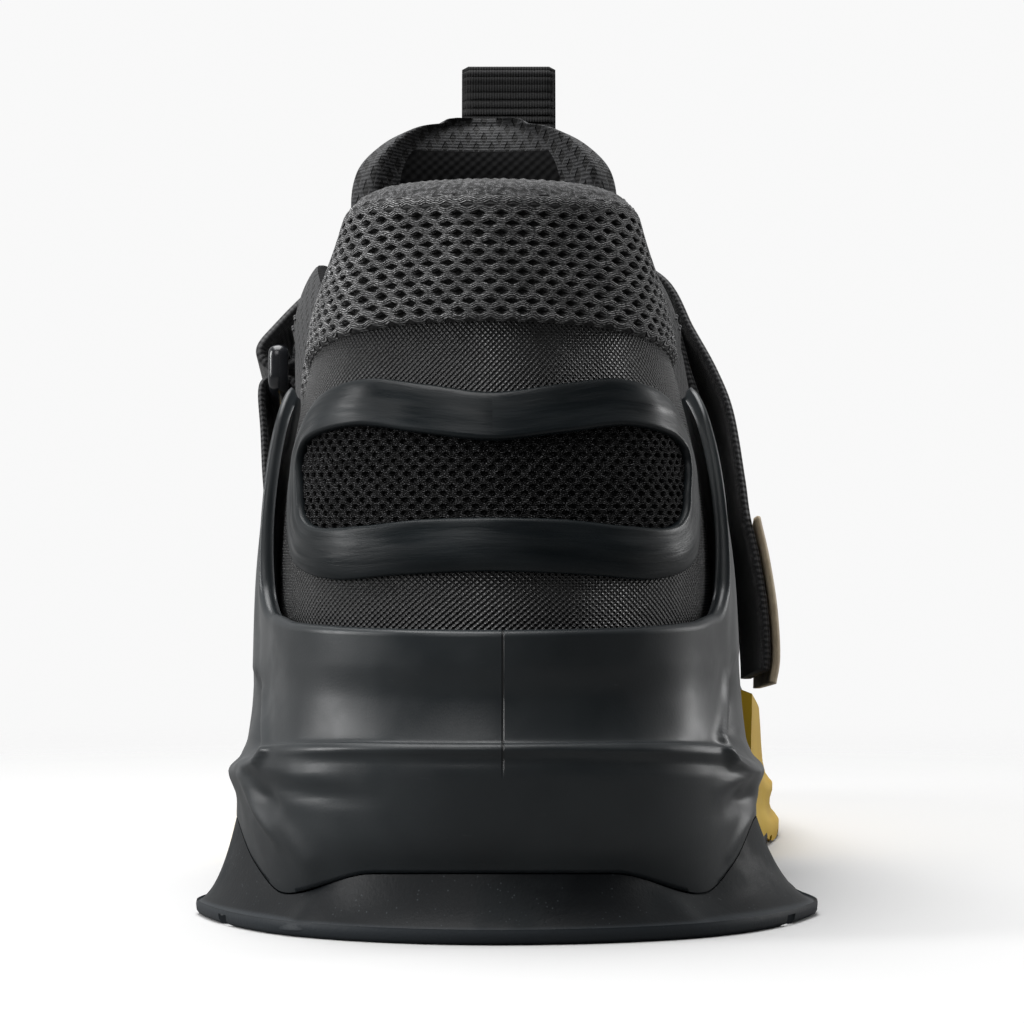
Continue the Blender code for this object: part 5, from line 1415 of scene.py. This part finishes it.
def makeStrap():
    user = strapUser
    perRow, columns = user["perRow"], user["columns"]
    grid = bandGrid(strapPath, (len(strapPath) - 1) * perRow + 1, columns)
    band = grid[:-user["bareEnd"]]
    mesh = slabMesh("instep_strap", band, user["thick"], edge=0.05)
    # webbing on the first layer, napped tape on the face that turns inwards after the ring
    kinds = np.zeros((len(band) - 1, 2 * columns), np.int32)
    kinds[user["turnRow"] * perRow:, :columns] = 1
    paint(mesh, kinds, (0, 0))
    finish("instep_strap", mesh, [cloths["webbing"], cloths["nap"]], replaces=["strap"])
    shift = 0.5 * user["thick"] + 1.5 * last["gap"] + 0.5 * user["webbing"]
    mesh = slabMesh("strap_tip", grid[-(user["tabRows"] - 1) * perRow:], user["webbing"], shift, edge=0.06)
    finish("strap_tip", mesh, [cloths["tan"]], replaces=["strap_end_tab"])
    mesh = slabMesh("ring_keeper", bandGrid(holderPath, 121, columns), user["webbing"], edge=0.05)
    finish("ring_keeper", mesh, [cloths["webbing"]], replaces=["ring_tab"])


def ringPlace():
    # in the fold of the strap and above the fold of its webbing: across, up and its fall to the front
    fold = 12 + int(np.argmin(strapPath[12:19, 1]))
    held = int(np.argmax(holderPath[:, 1]))
    rear = 0.5 * last["instepHeight"] * (strapPath[fold, 1] + holderPath[held, 1])
    front = 0.5 * last["instepHeight"] * (strapPath[fold, 3] + holderPath[held, 3])
    return 0.5 * last["ballWidth"] * strapPath[fold, 0], 0.5 * (rear + front), rear - front


def signedPower(value, power):
    return math.copysign(abs(value) ** power, value)


def makeRing():
    user = strapUser
    ringOut, ringUp, ringFall = ringPlace()
    halfLong = 0.5 * user["width"] + 2 * last["gap"] + user["ringBar"]
    halfHigh = 0.5 * (user["ringOpening"] + user["ringBar"])
    square, corners = user["ringSquare"], user["ringCorners"]
    rings = []
    for step in range(user["ringSteps"]):
        turn = 2 * math.pi * step / user["ringSteps"]
        c, s = math.cos(turn), math.sin(turn)
        cosine, sine = signedPower(c, square), signedPower(s, square)
        outY, outZ = signedPower(c, 2 - square) / halfLong, signedPower(s, 2 - square) / halfHigh
        size = math.hypot(outY, outZ)
        ring = []
        for corner in range(corners):
            angle = 2 * math.pi * (corner + 0.5) / corners
            reach = 0.5 * user["ringBar"] * math.cos(angle)
            ahead = halfLong * cosine + reach * outY / size
            up = halfHigh * sine + reach * outZ / size - ringFall * ahead / user["width"]
            ring.append((0.5 * user["ringDepth"] * math.sin(angle) + ringOut,
                         user["ahead"] + 0.5 * user["width"] + ahead, ringUp + up))
        rings.append(ring)
    mesh = gridMesh("strap_loop", np.array(rings), closedAlong=True)
    return finish("strap_loop", mesh, [cloths["gloss"]], replaces=["strap_ring"])


makeStrap()
makeRing()

# lace: two strands that cross over the tongue and dip through the eyelets
laceUser = {"width": 0.0052, "thick": 0.0012, "arch": 0.0016, "dip": 0.0034, "rings": 620, "columns": 12,
            "squeeze": 0.38}


def laceStrand(firstSide):
    user = laceUser
    knots, side = [], firstSide
    for row, nextRow in zip(eyeletRows, eyeletRows[1:]):
        start, startOut = eyeletPlace(row, side)
        end, endOut = eyeletPlace(nextRow, -side)
        knots.append(start - user["dip"] * startOut)
        knots.append(start + 0.0006 * startOut)
        for share in (0.14, 0.32, 0.5, 0.68, 0.86):
            swell = user["arch"] * (1 - (2 * share - 1) ** 6)
            swell += 0.0010 * firstSide * math.cos(math.pi * share) * side
            knots.append(start + share * (end - start) + np.array((0, 0, swell + 0.0010)))
        knots.append(end + 0.0006 * endOut)
        knots.append(end - user["dip"] * endOut)
        knots.append(knots[-1] + np.array((side * 0.0012, -0.5 * (end - start)[1] * 0.2, -0.0006)))
        side = -side
    return np.array(knots)


def makeLace():
    user = laceUser
    shape = bmesh.new()
    for firstSide in (-1, 1):
        path = catmull(laceStrand(firstSide), user["rings"])
        ways = unit(np.gradient(path, axis=0))
        flat = unit(np.cross(ways, np.array((0, 0, 1.0))))
        up = np.cross(flat, ways)
        turns = np.linspace(0, 2 * math.pi, user["columns"], endpoint=False)
        wide, thick = 0.5 * user["width"], 0.5 * user["thick"]
        narrow = np.ones(len(path))
        for row in eyeletRows:
            for side in (-1, 1):
                place, _ = eyeletPlace(row, side)
                away = ease((np.linalg.norm(path - place, axis=1) - 0.001) / 0.004)
                narrow = np.minimum(narrow, 0.62 + user["squeeze"] * away)
        rings = np.array([path + (wide * narrow * math.cos(turn))[:, None] * flat
                          + thick * math.sin(turn) * up for turn in turns]).transpose(1, 0, 2)
        run = arcLength(path, 0)
        girth = np.linspace(0, 0.011, user["columns"] + 1)
        uv = np.stack(np.meshgrid(run, girth, indexing="ij"), axis=-1)
        strand = gridMesh("strand", rings, uv=uv, capEnds=True)
        shape.from_mesh(strand)
        bpy.data.meshes.remove(strand)
    return finish("lacing", meshOf(shape, "lacing"), [cloths["lace"]], replaces=["lace"])


makeLace()

# stitches: one small lump of thread, set along the seams by Geometry Nodes
stitchUser = {"Pitch": 0.0027, "Length": 0.0020, "Width": 0.00060, "Height": 0.00050, "Seed": 4}
# first and last row, share up the wall at both, lift off the wall, both sides of the shoe
seamLines = ((4.9, 12.4, 0.790, 0.790, 0.0001), (4.9, 12.4, 0.820, 0.820, 0.0001),
             (3.62, 3.62, 0.46, 0.78, 0.0002))
guidePoints = 160


def makeThread():
    web = Web("sewingThread", (0.030, 0.030, 0.032), 0.60, Sheen_Weight=0.1)
    fibres = web.noise(web.place(), 3000.0, 2.0)
    web.colour(web.between(fibres, 0.35, 0.65), (0.008, 0.008, 0.009), (0.060, 0.060, 0.063))
    return web.material


def stitchTree():
    tree = bpy.data.node_groups.new("stitchRow", "GeometryNodeTree")
    face = tree.interface
    face.new_socket("Geometry", in_out="INPUT", socket_type="NodeSocketGeometry")
    for name in ("Pitch", "Length", "Width", "Height"):
        face.new_socket(name, in_out="INPUT", socket_type="NodeSocketFloat").default_value = stitchUser[name]
    face.new_socket("Seed", in_out="INPUT", socket_type="NodeSocketInt").default_value = stitchUser["Seed"]
    face.new_socket("Thread", in_out="INPUT", socket_type="NodeSocketMaterial")
    face.new_socket("Geometry", in_out="OUTPUT", socket_type="NodeSocketGeometry")

    def add(kind, inputs=(), **settings):
        return addNode(tree, kind, inputs, **settings).outputs

    given = add("NodeGroupInput")
    curve = add("GeometryNodeMeshToCurve", {"Mesh": given["Geometry"]})[0]
    row = add("GeometryNodeResampleCurve", {"Curve": curve, "Length": given["Pitch"]}, mode="LENGTH")[0]
    tangent = add("GeometryNodeInputTangent")[0]
    out = add("GeometryNodeInputNamedAttribute", {"Name": "out"}, data_type="FLOAT_VECTOR")["Attribute"]
    turned = add("FunctionNodeAlignRotationToVector", {"Vector": tangent}, axis="X")[0]
    turned = add("FunctionNodeAlignRotationToVector", {"Rotation": turned, "Vector": out}, axis="Z",
                 pivot_axis="X")[0]
    lump = add("GeometryNodeMeshUVSphere", {"Segments": 8, "Rings": 5, "Radius": 0.5})["Mesh"]
    vary = add("FunctionNodeRandomValue", {2: 0.90, 3: 1.08, "Seed": given["Seed"]}, data_type="FLOAT")[1]
    length = add("ShaderNodeMath", {0: given["Length"], 1: vary}, operation="MULTIPLY")[0]
    size = add("ShaderNodeCombineXYZ", {"X": length, "Y": given["Width"], "Z": given["Height"]})[0]
    sewn = add("GeometryNodeInstanceOnPoints", {"Points": row, "Instance": lump, "Rotation": turned,
                                                "Scale": size})[0]
    sewn = add("GeometryNodeRealizeInstances", {"Geometry": sewn})[0]
    sewn = add("GeometryNodeSetMaterial", {"Geometry": sewn, "Material": given["Thread"]})[0]
    add("NodeGroupOutput", {"Geometry": sewn})
    return tree


def seamGuide():
    # fine polylines along the seams, each point with its direction out of the wall
    spots, outs, edges = [], [], []
    for rowA, rowB, shareA, shareB, lift in seamLines:
        for side in (1, -1):
            rows = np.linspace(rowA, rowB, guidePoints)
            u = rows if side > 0 else loopRows - rows
            v = np.linspace(shareA, shareB, guidePoints)
            normals = skinNormal(u, v)
            relief = upperRelief(u, v)[:, None]
            line = skin(u, v) + (relief + lift) * normals
            line[:, 1] -= last["heelSeat"]
            edges += [(len(spots) + k, len(spots) + k + 1) for k in range(len(line) - 1)]
            spots += line.tolist()
            outs += normals.tolist()
    mesh = bpy.data.meshes.new("seam_guide")
    mesh.from_pydata(spots, edges, [])
    ways = mesh.attributes.new("out", "FLOAT_VECTOR", "POINT")
    ways.data.foreach_set("vector", np.array(outs, np.float32).reshape(-1))
    return mesh


def makeStitches():
    thread = makeThread()
    guide = bpy.data.objects.new("seam_guide", seamGuide())
    scene.collection.objects.link(guide)
    rows = guide.modifiers.new("stitches", "NODES")
    rows.node_group = stitchTree()
    for item in rows.node_group.interface.items_tree:
        if item.item_type == "SOCKET" and item.in_out == "INPUT" and item.name != "Geometry":
            rows[item.identifier] = thread if item.name == "Thread" else stitchUser[item.name]
    seen = guide.evaluated_get(bpy.context.evaluated_depsgraph_get())
    mesh = bpy.data.meshes.new_from_object(seen)
    guide.modifiers.clear()
    bpy.data.objects.remove(guide)
    mesh.materials.clear()
    return finish("seam_stitches", mesh, [thread])


makeStitches()

# floor, light and camera
stageUser = {"floorTone": 0.665, "bounceTone": 0.20, "backTone": 0.945, "clearFrom": 0.12, "clearTo": 0.50,
             "floorReach": 4.0, "clearAhead": 0.08, "skyFront": 0.06, "skyBack": 0.55, "skyLeft": 1.25,
             "skyRight": 0.60}
# name, place, target, size, power
softboxes = (
    ("top_softbox", (-0.12, 0.06, 0.85), (0, 0.05, 0.05), (1.0, 0.6), 10.0),
    ("left_softbox", (-0.88, -0.14, 0.32), (0, 0.03, 0.06), (0.30, 0.5), 4.9),
    ("fill_softbox", (-0.30, -0.90, 0.60), (0, 0.03, 0.06), (0.50, 0.5), 2.0),
    ("right_softbox", (0.84, 0.42, 0.28), (0, 0.03, 0.06), (0.22, 0.5), 2.4))
cameraUser = {"sensor": 36.0, "lens": 140.3, "clip": (0.01, 50.0),
              "place": (0.0027, -0.610, 0.062), "pitch": 90}


def makeStage():
    user = stageUser
    floor = bpy.data.meshes.new("studio_floor")
    reach = user["floorReach"]
    corners = [(x * reach, y * reach, 0) for x, y in ((-1, -1), (1, -1), (1, 1), (-1, 1))]
    floor.from_pydata(corners, [], [(0, 1, 2, 3)])
    plane = bpy.data.objects.new("studio_floor", floor)
    scene.collection.objects.link(plane)
    web = Web("paleFloor", (user["floorTone"],) * 3, 0.9, Specular_IOR_Level=0.0)
    seen = web.add("ShaderNodeLightPath").outputs["Is Camera Ray"]
    web.colour(seen, (user["bounceTone"],) * 3, (user["floorTone"],) * 3)
    x, y, _ = web.split(web.place())
    y = web.minus(y, user["clearAhead"])
    away = web.math("SQRT", web.plus(web.times(x, x), web.times(y, y)))
    clear = web.between(away, user["clearFrom"], user["clearTo"])
    see = web.add("ShaderNodeBsdfTransparent")
    blend = web.add("ShaderNodeMixShader", {0: clear, 1: web.shader.outputs[0], 2: see.outputs[0]})
    web.tree.links.new(blend.outputs[0], web.tree.nodes["Material Output"].inputs["Surface"])
    floor.materials.append(web.material)


def makeWorld():
    # the sky is brighter past the toe and on the left; the camera itself sees a plain pale backdrop
    user = stageUser
    world = bpy.data.worlds.new("studio")
    scene.world = world
    world.use_nodes = True
    tree = world.node_tree
    tree.nodes.clear()
    coords = addNode(tree, "ShaderNodeTexCoord").outputs["Generated"]
    x, y, _ = addNode(tree, "ShaderNodeSeparateXYZ", {0: coords}).outputs[:3]
    ahead = ramp(tree, y, -0.7, 0.6, user["skyFront"], user["skyBack"], "SMOOTHSTEP")
    aside = ramp(tree, x, -0.9, 0.9, user["skyLeft"], user["skyRight"], "LINEAR")
    both = addNode(tree, "ShaderNodeMath", {0: ahead, 1: aside}, operation="MULTIPLY").outputs[0]
    seen = addNode(tree, "ShaderNodeLightPath").outputs["Is Camera Ray"]
    white = (1, 1, 1, 1)
    sky, back = (addNode(tree, "ShaderNodeBackground", {"Color": white, "Strength": power}).outputs[0]
                 for power in (both, user["backTone"]))
    mix = addNode(tree, "ShaderNodeMixShader", {0: seen, 1: sky, 2: back}).outputs[0]
    addNode(tree, "ShaderNodeOutputWorld", {"Surface": mix})


def makeLight(name, place, target, size, power):
    lamp = bpy.data.lights.new(name, "AREA")
    lamp.shape = "RECTANGLE"
    lamp.size, lamp.size_y = size
    lamp.energy = power
    light = bpy.data.objects.new(name, lamp)
    scene.collection.objects.link(light)
    light.location = place
    light.rotation_euler = (Vector(target) - Vector(place)).to_track_quat("-Z", "Y").to_euler()


def makeCamera():
    data = bpy.data.cameras.new("camera")
    data.sensor_width = cameraUser["sensor"]
    data.lens = cameraUser["lens"]
    data.clip_start, data.clip_end = cameraUser["clip"]
    camera = bpy.data.objects.new("camera", data)
    scene.collection.objects.link(camera)
    camera.location = cameraUser["place"]
    camera.rotation_euler = (math.radians(cameraUser["pitch"]), 0, 0)
    scene.camera = camera


makeStage()
makeWorld()
for softbox in softboxes:
    makeLight(*softbox)
makeCamera()
scene.view_settings.view_transform = "Standard"
print("stage ready:", len(softboxes), "lights")
